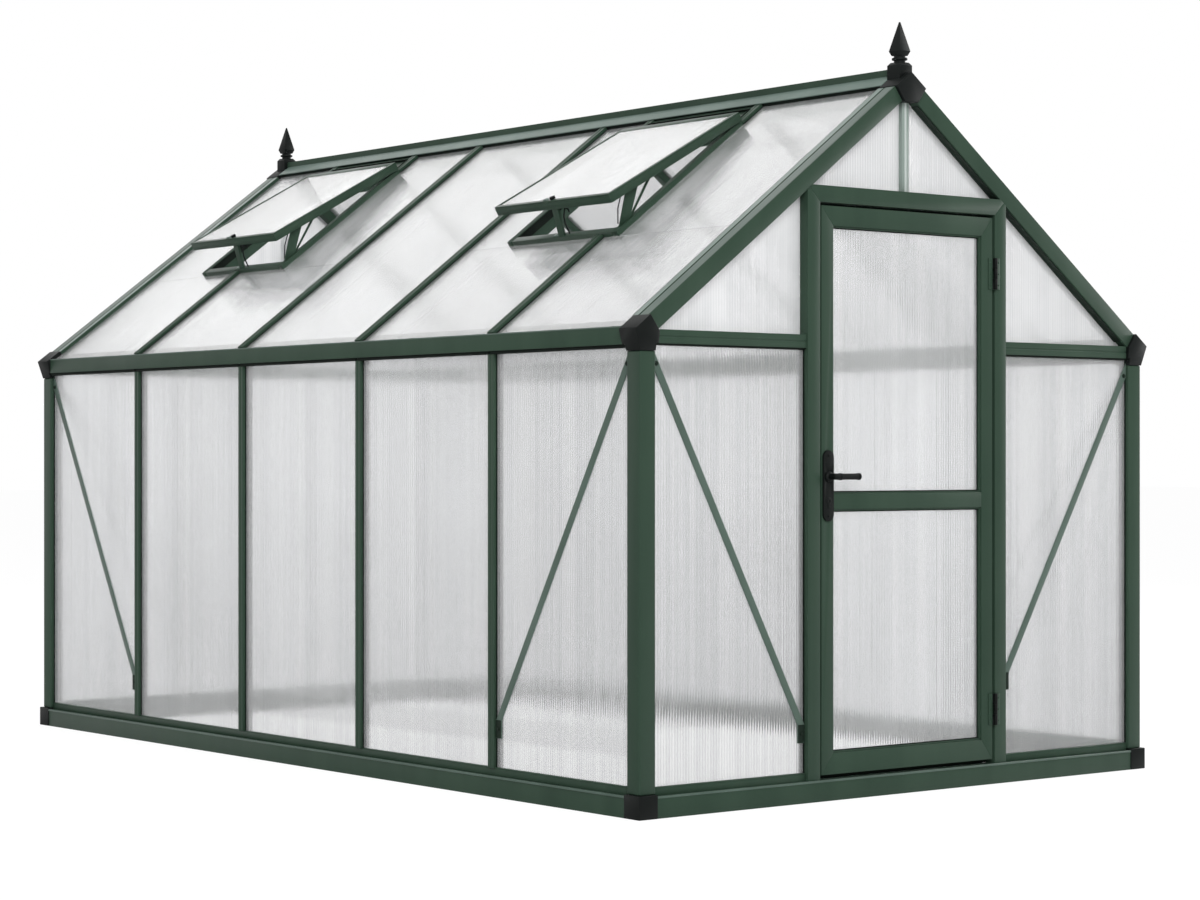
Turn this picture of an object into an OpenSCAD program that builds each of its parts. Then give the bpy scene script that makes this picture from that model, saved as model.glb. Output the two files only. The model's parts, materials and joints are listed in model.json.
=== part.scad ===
// Gabled greenhouse: green metal bars, black plastic connectors, twin-wall sheets,
// one hinged door in the front gable and two roof vents propped open on the left slope.
// The ridge runs along Y, the door faces -Y, the ground is z = 0 and the origin is the centre.

/* [Overall] */
// Width over the base rails
width = 1850; // [1700:10:2400]
// Length over the base rails
length = 3060; // [2800:10:3800]
// Glazing bays along each side
bays = 5; // [4:1:6]
// Height at which the roof line meets the base's outer face
eave_height = 1194; // [1100:2:1500]
// Slope of the roof in degrees
roof_pitch = 36.6; // [34:0.2:42]
// Clearance between a sheet and the bar it fits into
sheet_fit = 0.2; // [0.1:0.05:0.5]

/* [Base] */
// Height of the base rails
base_height = 54; // [40:1:80]
// Depth of the base rails, outside to inside
base_depth = 40; // [40:1:60]
// Wall of the base channel
base_wall = 3; // [2:0.5:4]
// Length of a base corner along each rail
base_corner = 59; // [58:1:80]
// How far the base corners stand above the rails
corner_rise = 4; // [2:1:8]
// How far the base corners stand out of the rails
corner_proud = 2; // [1:0.5:4]
// Distance of a ground screw from the middle of the length
anchor_y = 1200; // [1000:10:1300]
// Radius of a ground screw's hole
anchor_r = 4.5; // [3:0.5:6]

/* [Walls] */
// Outer size of a corner post
post_size = 50; // [44:1:70]
// Thickness of a corner post's two legs
post_leg = 25; // [20:1:36]
// Setback of the corner posts from the base's outer face
post_inset = 7; // [5:1:9]
// Height of the sill strips on the base
sill_height = 19; // [12:1:30]
// Setback of the sill strips
sill_inset = 16; // [15:1:18]
// Depth of the sill strips
sill_depth = 24; // [10:1:24]
// Thickness of the twin-wall sheets
sheet = 4; // [4:1:10]
// Setback of the wall sheets' outer face
sheet_inset = 20; // [19:1:22]
// Width of a glazing bar's cap
bar_width = 26; // [20:1:34]
// How far a glazing bar's cap stands above the sheet
cap_depth = 10; // [8:1:12]
// Thickness of a glazing bar's web
bar_web = 6; // [4:1:10]
// Depth of a glazing bar's inner flange
bar_inner = 20; // [12:1:24]
// Width of the groove along a bar's cap
groove_width = 5; // [3:0.5:8]
// Depth of the groove along a bar's cap
groove_depth = 2; // [1:0.5:3]
// Bevel along the edges of a bar's cap
cap_bevel = 1; // [0.5:0.25:2]

/* [Eaves and gables] */
// Height of an eave rail's outer face
eave_rail = 44; // [36:1:60]
// Thickness of the gutter's lip
gutter_lip = 3; // [2:0.5:4]
// Width of the gutter channel
gutter_width = 14; // [12:1:15]
// Thickness of the gutter's floor
gutter_floor = 5; // [3:1:10]
// Distance of the roof sheets' lower ends from the gutter's lip
gutter_gap = 4; // [2:1:8]
// Height of a gable rail
gable_rail = 34; // [24:1:44]
// Depth of a gable rail
gable_rail_depth = 30; // [25:1:34]
// Setback of a gable rail
gable_rail_inset = 10; // [8:1:14]
// How far a gable rail's underside lies above an eave rail's
gable_rail_rise = 3; // [0:1:8]
// Width of a rafter's front face, square to the slope
rafter_width = 45; // [38:1:60]
// Depth of a rafter along Y
rafter_depth = 59; // [52:1:80]
// Overlap of a rafter's cap on the roof sheets
rafter_lap = 6; // [4:1:12]
// Distance of the seam on a rafter's top from its front face
rafter_seam = 38; // [30:1:46]
// Width and depth of the seam
seam_width = 3; // [2:0.5:4]
// Setback of the gables' upper sheets
gable_inset = 34; // [32:1:36]
// Width of the upright in front of a gable's upper sheet
mullion_width = 25; // [16:1:40]
// Depth of that upright
mullion_depth = 12; // [6:1:18]
// Width of a diagonal brace
brace_width = 20; // [14:1:30]
// Thickness of a diagonal brace
brace_thick = 3; // [2:0.5:5]
// Distance of a brace's top end below the eave line
brace_top = 74; // [70:1:200]
// Height of a brace's bottom end
brace_foot = 175; // [120:5:400]
// Height of the bottom end of the brace right of the door
brace_foot_right = 272; // [120:4:400]
// Side of the plate at a brace's foot
brace_plate = 24; // [16:1:32]

/* [Connectors and ridge] */
// Drop of an eave connector below the eave line
connector_drop = 60; // [52:1:90]
// Reach of an eave connector up the slope
connector_reach = 45; // [40:1:70]
// How far a connector stands proud of the bars
connector_proud = 2; // [1:0.5:4]
// How far an eave connector's plumb gable face reaches below the eave line
connector_plumb = 6; // [2:1:20]
// Overhang of an eave connector beyond the base's outer face
connector_out = 11; // [6:1:20]
// Half length of the ridge connector down each slope
ridge_connector = 66; // [60:1:90]
// Width of a ridge flange down the slope
ridge_flange = 54; // [48:1:58]
// Thickness of a ridge flange
ridge_thick = 3; // [2:0.5:5]
// Width of the strip along the top of the ridge
crest_width = 20; // [12:1:22]
// Height of the strip along the top of the ridge
crest_height = 14; // [8:1:24]
// Width of the ridge web that the bars meet
ridge_web = 24; // [22:1:32]
// Depth of the ridge web below the roof line
ridge_depth = 80; // [60:1:120]

/* [Finials] */
// Width of a finial's square foot
finial_foot = 46; // [36:1:54]
// Height of a finial's foot above the roof line
finial_foot_height = 22; // [14:1:40]
// Height of the taper on a finial's foot
finial_taper = 8; // [4:1:14]
// Radius of a finial's neck
finial_neck_r = 15; // [10:0.5:18]
// Height of the neck below its ring
finial_collar = 5; // [2:1:10]
// Radius of a finial's ring
finial_ring_r = 20.5; // [16:0.5:24]
// Height of the ring
finial_ring = 9; // [6:1:14]
// Bevel of the ring's edges
finial_bevel = 2; // [1:0.5:2.5]
// Height of the neck above its ring
finial_neck = 4; // [2:1:10]
// Height of a finial's spear below its widest part
finial_flare = 12; // [6:1:20]
// Widest part of a finial's spear
finial_spear = 40; // [30:1:50]
// Length of a finial's spear above its widest part
finial_point = 77; // [50:1:120]
// Width of the spear's tip
finial_tip = 3; // [1:0.5:8]

/* [Door] */
// Width over the door frame
door_frame = 730; // [680:2:800]
// How far the door frame's top stands above its corners, which the rafters cut off
frame_clip = 15; // [6:1:24]
// Face width of the door frame
frame_face = 43; // [34:1:50]
// Setback of the door frame
frame_inset = 5; // [3:0.5:7]
// Depth of the door frame
frame_depth = 40; // [39:1:44]
// Gap on each side of the door
door_gap = 7; // [6:0.5:10]
// Gap above the door
top_gap = 8; // [6:0.5:10]
// Gap between the base and the door
door_sill_gap = 12; // [8:1:16]
// Setback of the door's face
door_inset = 8; // [7:0.5:9]
// Thickness of the door
door_thick = 28; // [24:1:28]
// Face width of the door's stiles
stile_face = 42; // [40:1:56]
// Face width of the door's top rail
top_rail = 50; // [40:1:70]
// Face width of the door's bottom rail
bottom_rail = 54; // [40:1:80]
// Face width of the door's middle rail
mid_rail = 40; // [30:1:60]
// Height of the middle rail's lower edge, as a share of the door's height
mid_rail_share = 0.466; // [0.4:0.002:0.54]
// Width of the stop behind the door's edge
stop_width = 9; // [8.5:0.5:12]
// Clearance between the door's back and its stop
stop_gap = 5.2; // [5:0.1:6]

/* [Handle] */
// Width of the handle's plates
plate_width = 36; // [30:1:38]
// Height of the handle's plates
plate_height = 181; // [140:1:220]
// Thickness of the handle's plates
plate_thick = 5; // [3:0.5:5]
// How far the plates reach below the door's middle rail
plate_drop = 30; // [10:1:60]
// Height of the lever above the plates' lower end
lever_rise = 114; // [80:1:140]
// Radius of the lever
lever_r = 8; // [6:0.5:9]
// Length of the lever from its pivot
lever_length = 88; // [70:1:130]
// How far the lever's middle stands off the door
lever_reach = 32; // [26:1:40]
// Radius of the spindle through the door
spindle_r = 5; // [3:0.5:6]
// Clearance around the lever's shaft inside the stile
stile_bore_gap = 1; // [0.5:0.25:3]
// Running clearance of a pin in its bore
pin_fit = 0.08; // [0.04:0.01:0.1]

/* [Hinges] */
// Height of a hinge
hinge_height = 84; // [60:3:120]
// Radius of a hinge knuckle
knuckle_r = 5; // [4:0.25:5.5]
// Radius of a hinge pin
hinge_pin_r = 2.5; // [1.5:0.25:3]
// Distance of the hinge axis in front of the frame's face
hinge_forward = 6; // [5.5:0.25:7]
// Width of a hinge leaf beyond the axis
hinge_leaf = 20; // [14:1:30]
// Thickness of a hinge leaf
hinge_thick = 2.5; // [2:0.25:3]
// Gap between two knuckles of a hinge
knuckle_gap = 0.5; // [0.3:0.1:1]
// Distance of the top hinge's middle below the door's top
hinge_top = 150; // [120:5:300]
// Height of the bottom hinge's middle above the door's bottom
hinge_bottom = 134; // [120:2:300]

/* [Vents] */
// Width over a vent's curb
vent_width = 480; // [420:5:520]
// Distance of a vent's curb from the ridge, down the slope
vent_top = 142; // [100:1:190]
// Length of a vent's curb down the slope
vent_length = 548; // [450:2:650]
// Face width of the curb bars
curb_face = 22; // [18:1:30]
// Rise of the curb above the sheets
curb_rise = 14; // [12:1:24]
// Depth of the curb below the sheets' outer face
curb_depth = 40; // [30:1:60]
// How far the front vent's curb reaches past the middle of the first roof bar
front_vent_lap = 77; // [60:1:120]
// Distance of the rear vent's middle in front of the last roof bar
rear_vent_shift = 33; // [0:1:60]
// How far a vent sash reaches past its curb on each side
sash_lap = 10; // [4:1:14]
// Distance of an open sash's lower edge from the curb's lower edge
sash_short = 24; // [18:1:40]
// Thickness of a vent sash
sash_thick = 26; // [18:1:34]
// Face width of the sash bars
sash_face = 24; // [18:1:34]
// How far a sash's pane lies below the top of its bars
pane_sink = 1; // [0.5:0.5:4]
// Angle at which the vents are propped open, in degrees
vent_angle = 8; // [4:0.5:14]
// Distance of the sash's hinge edge from the curb's top edge
sash_setback = 5; // [2:1:12]
// Thickness of the strip between a vent and the ridge's flange
vent_flashing = 6; // [2:1:8]
// Thickness of the stays that prop a sash
stay_thick = 4; // [3:0.5:6]
// Distance of the middle stay's foot from the curb's lower edge
stay_setback = 4; // [2:1:8]
// Width of the corner stay down the slope
corner_stay = 48; // [20:1:60]
// Distance of the corner stay's foot from the curb's lower edge
corner_stay_setback = 20; // [4:1:40]
// How far the corner stay leans up the slope
stay_lean = 75; // [24:1:80]
// Width of the side stay down the slope
side_stay = 14; // [8:1:120]
// Distance of the side stay's foot from the curb's lower edge
side_stay_setback = 62; // [50:1:200]
// How far the side stay leans up the slope
side_stay_lean = 120; // [0:5:120]
// Width of the middle stay across the slope
middle_stay = 24; // [10:1:40]
// Distance of the middle stay from the sash's left edge, as a share of its width
middle_stay_share = 0.5; // [0.2:0.01:0.8]
// Radius of the knob on a sash's lower bar
knob_r = 8; // [5:0.5:11]
// Height of the knob
knob_height = 7; // [4:1:16]

/* [Hidden] */
half_w = width / 2;
half_l = length / 2;
bay = length / bays;
bar_ys = [for (i = [1 : bays - 1]) i * bay - half_l];

// Roof: s runs down the slope from the ridge line, n is square to it and 0 on the bars' caps.
slope_tan = tan(roof_pitch);
slope_cos = cos(roof_pitch);
slope_sin = sin(roof_pitch);
apex_z = eave_height + half_w * slope_tan;
eave_s = half_w / slope_cos;
sheet_top_n = -cap_depth;
sheet_under_n = -cap_depth - sheet;
function roof_z(x, n) = apex_z - abs(x) * slope_tan + n / slope_cos;
function roof_pt(s, n) = [s * slope_cos + n * slope_sin, apex_z - s * slope_sin + n * slope_cos];
function s_at_x(x, n) = (x - n * slope_sin) / slope_cos;
function x_at_z(z, n) = (apex_z + n / slope_cos - z) / slope_tan;

// Walls: setbacks are counted inward from the base's outer face.
base_block = base_corner - corner_proud;
base_top = base_height;
corner_top = base_height + corner_rise;
post_inner = post_inset + post_size;
sill_top = base_top + sill_height;
sheet_back = sheet_inset + sheet;
bar_front = sheet_inset - cap_depth;
bar_back = sheet_back + bar_inner;
end_gap = bar_web / 2 + sheet_fit;
back_bar_x = width / 6;
sill_end = max(post_inner, base_block);

// Eaves and connectors
connector_z = eave_height - connector_drop;
connector_s = eave_s - connector_reach;
eave_rail_z = eave_height - eave_rail;
frame_front = post_inset;
roof_end = frame_front + rafter_depth;
gable_rail_z = eave_rail_z + gable_rail_rise;
gable_rail_top = gable_rail_z + gable_rail;
connector_inner = roof_pt(connector_s, -rafter_width - connector_proud);
connector_inner_x = connector_inner[0];
connector_pts = [
    [half_w - post_inset + connector_proud, connector_z],
    [half_w + connector_out, roof_z(half_w + connector_out, connector_proud)],
    roof_pt(connector_s, connector_proud),
    connector_inner,
    [connector_inner_x, gable_rail_z],
    [half_w - post_inner, gable_rail_z],
    [half_w - post_inner, connector_z]];
gutter_end_x = half_w - gutter_lip - gutter_gap;
roof_end_s = gutter_end_x / slope_cos;
inner_end_s = s_at_x(half_w - bar_back, sheet_under_n) - sheet_fit;

// Ridge
sheet_start_s = s_at_x(ridge_web / 2, sheet_under_n) + sheet_fit;
bar_start_s = s_at_x(ridge_web / 2, sheet_under_n - bar_inner) + sheet_fit;
ridge_low = roof_pt(ridge_connector, -rafter_width - connector_proud);

// Door, in the front gable
jamb_x = door_frame / 2;
opening_x = jamb_x - frame_face;
frame_corner_z = roof_z(jamb_x, -rafter_width);
door_frame_top = frame_corner_z + frame_clip;
opening_top = door_frame_top - frame_face;
leaf_x = opening_x - door_gap;
leaf_z = base_top + door_sill_gap;
leaf_top = opening_top - top_gap;
mid_rail_z = leaf_z + mid_rail_share * (leaf_top - leaf_z);
plate_z = mid_rail_z - plate_drop;
leaf_back = door_inset + door_thick;
stop_front = leaf_back + stop_gap;
pane_front = sheet_inset;
mitre_x = (apex_z - rafter_width / slope_cos - opening_top + opening_x) / (1 + slope_tan);
mitre_z = mitre_x - opening_x + opening_top;
spindle_x = -leaf_x + stile_face / 2;
spindle_z = plate_z + lever_rise;
hinge_x = (opening_x + leaf_x) / 2;
hinge_y = -half_l + frame_inset - hinge_forward;
hinge_zs = [leaf_top - hinge_top, leaf_z + hinge_bottom];

// Vents: each one interrupts a roof bar, the first one or the last one.
vent_end = vent_top + vent_length;
vent_ys = [
    bar_ys[0] - front_vent_lap + vent_width / 2,
    bar_ys[len(bar_ys) - 1] - rear_vent_shift];
trimmer_offset = (vent_width - curb_face) / 2;
curb_top_n = sheet_top_n + curb_rise;
curb_low_n = sheet_top_n - curb_depth;
least_strip = 20;
sash_s = vent_top + sash_setback;
sash_width = vent_width + 2 * sash_lap;
sash_length = (vent_length - sash_setback - sash_short) / cos(vent_angle);
seat = 0.3;

// How far a cutter reaches past what it cuts, and the facets of turned parts and of bores.
cut = 1;
turned_fn = 40;
bore_fn = 32;

green = [0.27, 0.36, 0.32];
light_green = [0.45, 0.55, 0.52];
black = [0.13, 0.16, 0.16];
clear_sheet = [0.88, 0.9, 0.92, 0.6];

// ---- helpers ----

// Children are drawn for the front (-Y) end and mirrored for the back.
module both_ends() {
    children();
    mirror([0, 1, 0]) children();
}

// Children are drawn for the right (+X) side and mirrored for the left.
module both_sides() {
    children();
    mirror([1, 0, 0]) children();
}

// An outline in X and Z, pushed along Y from y0 to y1.
module along_y(y0, y1) {
    translate([0, y1, 0]) rotate([90, 0, 0]) linear_extrude(y1 - y0) children();
}

// An outline in Y and Z, pushed along X from x0 to x1.
module along_x(x0, x1) {
    translate([x0, 0, 0]) rotate([90, 0, 90]) linear_extrude(x1 - x0) children();
}

// Children are drawn with x = s, z = n on the right slope; side = -1 is the left slope.
module on_slope(side) {
    mirror([side < 0 ? 1 : 0, 0, 0]) translate([0, 0, apex_z]) rotate([0, roof_pitch, 0]) children();
}

module slope_box(s0, s1, y0, y1, n0, n1) {
    translate([s0, y0, n0]) cube([s1 - s0, y1 - y0, n1 - n0]);
}

module wall_box(x0, x1, y0, y1, z0, z1) {
    translate([x0, y0, z0]) cube([x1 - x0, y1 - y0, z1 - z0]);
}

// Section of a glazing bar: u across it, v outward, v = 0 on the sheets' outer face.
module bar_outline(inner = true) {
    hw = bar_width / 2;
    polygon([
        [-hw, 0], [-hw, cap_depth - cap_bevel], [-hw + cap_bevel, cap_depth],
        [-groove_width / 2, cap_depth], [0, cap_depth - groove_depth],
        [groove_width / 2, cap_depth], [hw - cap_bevel, cap_depth],
        [hw, cap_depth - cap_bevel], [hw, 0],
        [bar_web / 2, 0], [bar_web / 2, -sheet], [-bar_web / 2, -sheet], [-bar_web / 2, 0]]);
    if (inner) translate([-hw, -sheet - bar_inner]) square([bar_width, bar_inner]);
}

// A glazing bar down the slope from s0 to s1; its inner flange ends at inner_s1.
module roof_bar(y, s0, s1, inner_s1) {
    translate([0, y, sheet_top_n]) rotate([90, 0, 90]) {
        translate([0, 0, s0]) linear_extrude(inner_s1 - s0) bar_outline();
        if (s1 > inner_s1)
            translate([0, 0, s0]) linear_extrude(s1 - s0) bar_outline(false);
    }
}

// An upright glazing bar whose outward side is -Y before the caller turns it.
module wall_bar(z0, z1) {
    translate([0, 0, z0]) linear_extrude(z1 - z0) mirror([0, 1]) bar_outline();
}

module side_bar(y) {
    translate([half_w - sheet_inset, y, 0]) rotate([0, 0, 90]) wall_bar(sill_top, eave_rail_z);
}

// ---- base ----

module base_section() {
    difference() {
        square([base_depth, base_height]);
        translate([base_wall, base_wall]) square([base_depth, base_height - 2 * base_wall]);
    }
}

module base_end_rail() {
    color(green) translate([0, -half_l, 0]) along_x(-half_w + base_block, half_w - base_block)
        base_section();
}

module base_side_rail() {
    color(green) difference() {
        mirror([1, 0, 0]) translate([-half_w, 0, 0])
            along_y(-half_l + base_block, half_l - base_block) base_section();
        for (y = [-anchor_y, anchor_y])
            translate([half_w - (base_wall + sill_inset) / 2, y, -cut])
                cylinder(h = base_height + 2 * cut, r = anchor_r, $fn = bore_fn);
    }
}

module base_front() base_end_rail();
module base_back() mirror([0, 1, 0]) base_end_rail();
module base_right() base_side_rail();
module base_left() mirror([1, 0, 0]) base_side_rail();

module base_corners() {
    leg = base_depth + corner_proud;
    color(black) both_ends() both_sides()
        translate([half_w + corner_proud, -half_l - corner_proud, 0]) mirror([1, 0, 0])
            linear_extrude(corner_top) polygon([
                [0, 0], [base_corner, 0], [base_corner, leg], [leg, leg],
                [leg, base_corner], [0, base_corner]]);
}

module wall_sills() {
    y1 = half_l - sill_end;
    x1 = half_w - sill_end;
    color(green) {
        both_sides() wall_box(half_w - sill_inset - sill_depth, half_w - sill_inset, -y1, y1,
            base_top, sill_top);
        both_sides() wall_box(jamb_x, x1, -half_l + sill_inset,
            -half_l + sill_inset + sill_depth, base_top, sill_top);
        wall_box(-x1, x1, half_l - sill_inset - sill_depth, half_l - sill_inset,
            base_top, sill_top);
    }
}

// ---- walls ----

module corner_posts() {
    color(green) both_ends() both_sides()
        translate([half_w - post_inset, -half_l + post_inset, corner_top]) mirror([1, 0, 0])
            linear_extrude(connector_z - corner_top) polygon([
                [0, 0], [post_size, 0], [post_size, post_leg], [post_leg, post_leg],
                [post_leg, post_size], [0, post_size]]);
}

module side_bars_right() {
    color(green) for (y = bar_ys) side_bar(y);
}

module side_bars_left() {
    color(green) mirror([1, 0, 0]) for (y = bar_ys) side_bar(y);
}

module back_bars() {
    color(green) both_sides() translate([back_bar_x, half_l - sheet_inset, 0])
        rotate([0, 0, 180]) wall_bar(sill_top, gable_rail_z);
}

// Eave rail with its gutter: the lip stands outside, the roof sheets lie on the sloped top.
module eave_rail_right() {
    lip_x = half_w - gutter_lip;
    body_x = lip_x - gutter_width;
    back_x = half_w - bar_back;
    y1 = half_l - roof_end;
    color(green) along_y(-y1, y1) polygon([
        [half_w, eave_rail_z], [half_w, eave_height], [lip_x, eave_height],
        [lip_x, eave_rail_z + gutter_floor], [body_x, eave_rail_z + gutter_floor],
        [body_x, roof_z(body_x, sheet_under_n)], [back_x, roof_z(back_x, sheet_under_n)],
        [back_x, eave_rail_z]]);
}

module eave_rail_left() mirror([1, 0, 0]) eave_rail_right();

// Rail across a gable at eave level, with a shallow groove along its face.
module gable_rail_section() {
    mid = gable_rail / 2;
    polygon([
        [0, 0], [gable_rail_depth, 0], [gable_rail_depth, gable_rail], [0, gable_rail],
        [0, mid + groove_width / 2], [groove_depth, mid], [0, mid - groove_width / 2]]);
}

// The rails' outer ends are cut to the slope of the rafters' undersides.
module gable_rails() {
    color(green) difference() {
        union() {
            both_sides() translate([0, -half_l + gable_rail_inset, gable_rail_z])
                along_x(jamb_x, connector_inner_x) gable_rail_section();
            mirror([0, 1, 0]) translate([0, -half_l + gable_rail_inset, gable_rail_z])
                along_x(-connector_inner_x, connector_inner_x) gable_rail_section();
        }
        for (side = [-1, 1]) on_slope(side)
            slope_box(0, eave_s, -half_l, half_l, -rafter_width - sheet_fit, 0);
    }
}

// Two rafters of one gable, each a deep bar with a seam on top and a cap over the sheets.
module rafter_pair() {
    y0 = -half_l + frame_front;
    for (side = [-1, 1]) on_slope(side) difference() {
        union() {
            slope_box(ridge_connector, connector_s, y0, y0 + rafter_depth, -rafter_width, 0);
            slope_box(ridge_connector, connector_s, y0, y0 + rafter_depth + rafter_lap,
                sheet_top_n, 0);
        }
        slope_box(0, eave_s, y0 + rafter_seam, y0 + rafter_seam + seam_width, -seam_width, cut);
    }
}

module rafters_front() color(green) rafter_pair();
module rafters_back() color(green) mirror([0, 1, 0]) rafter_pair();

module ridge_bar() {
    web = ridge_web / 2;
    crest = crest_width / 2;
    tip = roof_pt(ridge_flange, ridge_thick);
    tip_low = roof_pt(ridge_flange, 0);
    half = [
        [crest, apex_z + crest_height], [crest, roof_z(crest, ridge_thick)], tip, tip_low,
        [web, roof_z(web, 0)], [web, apex_z - ridge_depth]];
    other = [for (i = [len(half) - 1 : -1 : 0]) [-half[i][0], half[i][1]]];
    y1 = half_l - roof_end;
    color(light_green) along_y(-y1, y1) polygon(concat(half, other));
}

module roof_bars_right() {
    color(green) on_slope(1) for (y = bar_ys)
        roof_bar(y, bar_start_s, roof_end_s, inner_end_s);
}

// The vents interrupt the left slope's bars: stubs reach from the curbs' top corners to the ridge.
function in_vent(y) = len([for (v = vent_ys) if (abs(y - v) < vent_width / 2) 1]) > 0;
module roof_bars_left() {
    color(green) on_slope(-1) {
        for (y = bar_ys)
            roof_bar(y, in_vent(y) ? vent_end : bar_start_s, roof_end_s, inner_end_s);
        for (v = vent_ys, e = [-1, 1])
            roof_bar(v + e * trimmer_offset, bar_start_s, vent_top, vent_top);
    }
}

module gable_mullions() {
    y1 = -half_l + gable_inset;
    y0 = y1 - mullion_depth;
    color(light_green) {
        wall_box(-mullion_width / 2, mullion_width / 2, y0, y1, door_frame_top, ridge_low[1]);
        mirror([0, 1, 0]) wall_box(-mullion_width / 2, mullion_width / 2, y0, y1,
            gable_rail_top, ridge_low[1]);
    }
}

// ---- connectors ----

module eave_connectors() {
    y0 = -half_l;
    color(black) both_ends() both_sides() intersection() {
        along_y(y0 - connector_proud, y0 + roof_end) polygon(connector_pts);
        along_x(0, half_w + connector_out) polygon([
            [y0 + post_inset - connector_proud, connector_z],
            [y0 - connector_proud, eave_height - connector_plumb],
            [y0 - connector_proud, apex_z], [y0 + roof_end, apex_z],
            [y0 + roof_end, eave_rail_z], [y0 + post_inner, eave_rail_z],
            [y0 + post_inner, connector_z]]);
    }
}

module ridge_connectors() {
    right = [
        [0, apex_z + connector_proud / slope_cos],
        roof_pt(ridge_connector, connector_proud), ridge_low];
    left = [for (i = [2, 1]) [-right[i][0], right[i][1]]];
    color(black) both_ends() along_y(-half_l - connector_proud, -half_l + roof_end)
        polygon(concat(right, left));
}

// A square tapered block: the same outline [half width, z] is used across X and across Y.
module square_taper(half_pts) {
    outline = concat(half_pts,
        [for (i = [len(half_pts) - 1 : -1 : 0]) [-half_pts[i][0], half_pts[i][1]]]);
    half = finial_foot;
    intersection() {
        along_y(-half, half) polygon(outline);
        along_x(-half, half) polygon(outline);
    }
}

// Ornament with a square foot astride the ridge connector, a turned neck and a spear.
module finial() {
    half = finial_foot / 2;
    foot_z = apex_z + connector_proud / slope_cos;
    side_z = roof_z(half, connector_proud);
    shoulder_z = apex_z + finial_foot_height;
    neck_z = shoulder_z + finial_taper;
    ring_z = neck_z + finial_collar;
    ring_top = ring_z + finial_ring;
    spear_z = ring_top + finial_neck;
    wide_z = spear_z + finial_flare;
    neck = finial_neck_r;
    translate([0, -half_l + roof_end - half, 0]) {
        difference() {
            square_taper([[half, side_z - cut], [half, shoulder_z],
                [neck + finial_bevel, neck_z]]);
            along_y(-finial_foot, finial_foot) polygon([
                [-width, roof_z(width, connector_proud)], [0, foot_z],
                [width, roof_z(width, connector_proud)]]);
        }
        rotate_extrude($fn = turned_fn) polygon([
            [0, neck_z], [neck, neck_z], [neck, ring_z],
            [finial_ring_r, ring_z + finial_bevel], [finial_ring_r, ring_top - finial_bevel],
            [neck, ring_top], [neck, spear_z], [0, spear_z]]);
        square_taper([[neck, spear_z], [finial_spear / 2, wide_z],
            [finial_tip / 2, wide_z + finial_point]]);
    }
}

module finials() color(black) both_ends() finial();

// Diagonal strip between two uprights, from [u0, z0] to [u1, z1], with upright ends.
module brace_outline(u0, z0, u1, z1) {
    rise = brace_width / 2 * norm([u1 - u0, z1 - z0]) / abs(u1 - u0);
    polygon([[u0, z0 + rise], [u0, z0 - rise], [u1, z1 - rise], [u1, z1 + rise]]);
    translate([u1 > u0 ? u1 - brace_plate : u1, z1 - brace_plate])
        square([brace_plate, 2 * brace_plate]);
}

module braces() {
    top = eave_height - brace_top;
    side_x = half_w - sheet_inset;
    end_y = half_l - post_inner;
    bar_y = bar_ys[len(bar_ys) - 1] + bar_width / 2;
    end_x = half_w - post_inner;
    face_y = -half_l + sheet_inset - brace_thick;
    back_x = back_bar_x + bar_width / 2;
    color(light_green) {
        both_sides() both_ends() along_x(side_x, side_x + brace_thick)
            brace_outline(-end_y, top, -bar_y, brace_foot);
        along_y(face_y, face_y + brace_thick)
            brace_outline(-end_x, top, -jamb_x, brace_foot);
        along_y(face_y, face_y + brace_thick)
            brace_outline(end_x, top, jamb_x, brace_foot_right);
        both_sides() mirror([0, 1, 0]) along_y(face_y, face_y + brace_thick)
            brace_outline(end_x, top, back_x, brace_foot);
    }
}

// ---- door frame ----

module door_jambs() {
    y0 = -half_l + frame_inset;
    y1 = y0 + frame_depth;
    color(green) both_sides() {
        along_y(y0, y1) polygon([
            [opening_x, base_top], [jamb_x, base_top],
            [jamb_x, frame_corner_z], [mitre_x, mitre_z],
            [opening_x, opening_top]]);
    }
}

module door_header() {
    y0 = -half_l + frame_inset;
    y1 = y0 + frame_depth;
    top_x = x_at_z(door_frame_top, -rafter_width);
    color(green) {
        along_y(y0, y1) polygon([
            [-opening_x, opening_top], [opening_x, opening_top], [mitre_x, mitre_z],
            [top_x, door_frame_top], [-top_x, door_frame_top], [-mitre_x, mitre_z]]);
    }
}

// Strips inside the frame, behind the door's edge, that the door shuts against.
module door_stops() {
    y0 = -half_l + stop_front;
    y1 = -half_l + frame_inset + frame_depth;
    low = opening_top - stop_width;
    color(green) {
        both_sides() wall_box(opening_x - stop_width, opening_x, y0, y1,
            base_top, low - sheet_fit);
        wall_box(-opening_x, opening_x, y0, y1, low, opening_top);
    }
}

// ---- sheets ----

module side_sheets() {
    x0 = half_w - sheet_back;
    edge = half_l - post_inner - sheet_fit;
    cuts = concat([-edge - end_gap], bar_ys, [edge + end_gap]);
    for (i = [0 : len(cuts) - 2])
        wall_box(x0, x0 + sheet, cuts[i] + end_gap, cuts[i + 1] - end_gap,
            sill_top + sheet_fit, eave_rail_z - sheet_fit);
}

module sheets_right() color(clear_sheet) side_sheets();
module sheets_left() color(clear_sheet) mirror([1, 0, 0]) side_sheets();

module sheets_back() {
    y0 = half_l - sheet_back;
    edge = half_w - post_inner - sheet_fit;
    cuts = [-edge - end_gap, -back_bar_x, back_bar_x, edge + end_gap];
    color(clear_sheet) for (i = [0 : 2])
        wall_box(cuts[i] + end_gap, cuts[i + 1] - end_gap, y0, y0 + sheet,
            sill_top + sheet_fit, gable_rail_z - sheet_fit);
}

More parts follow.
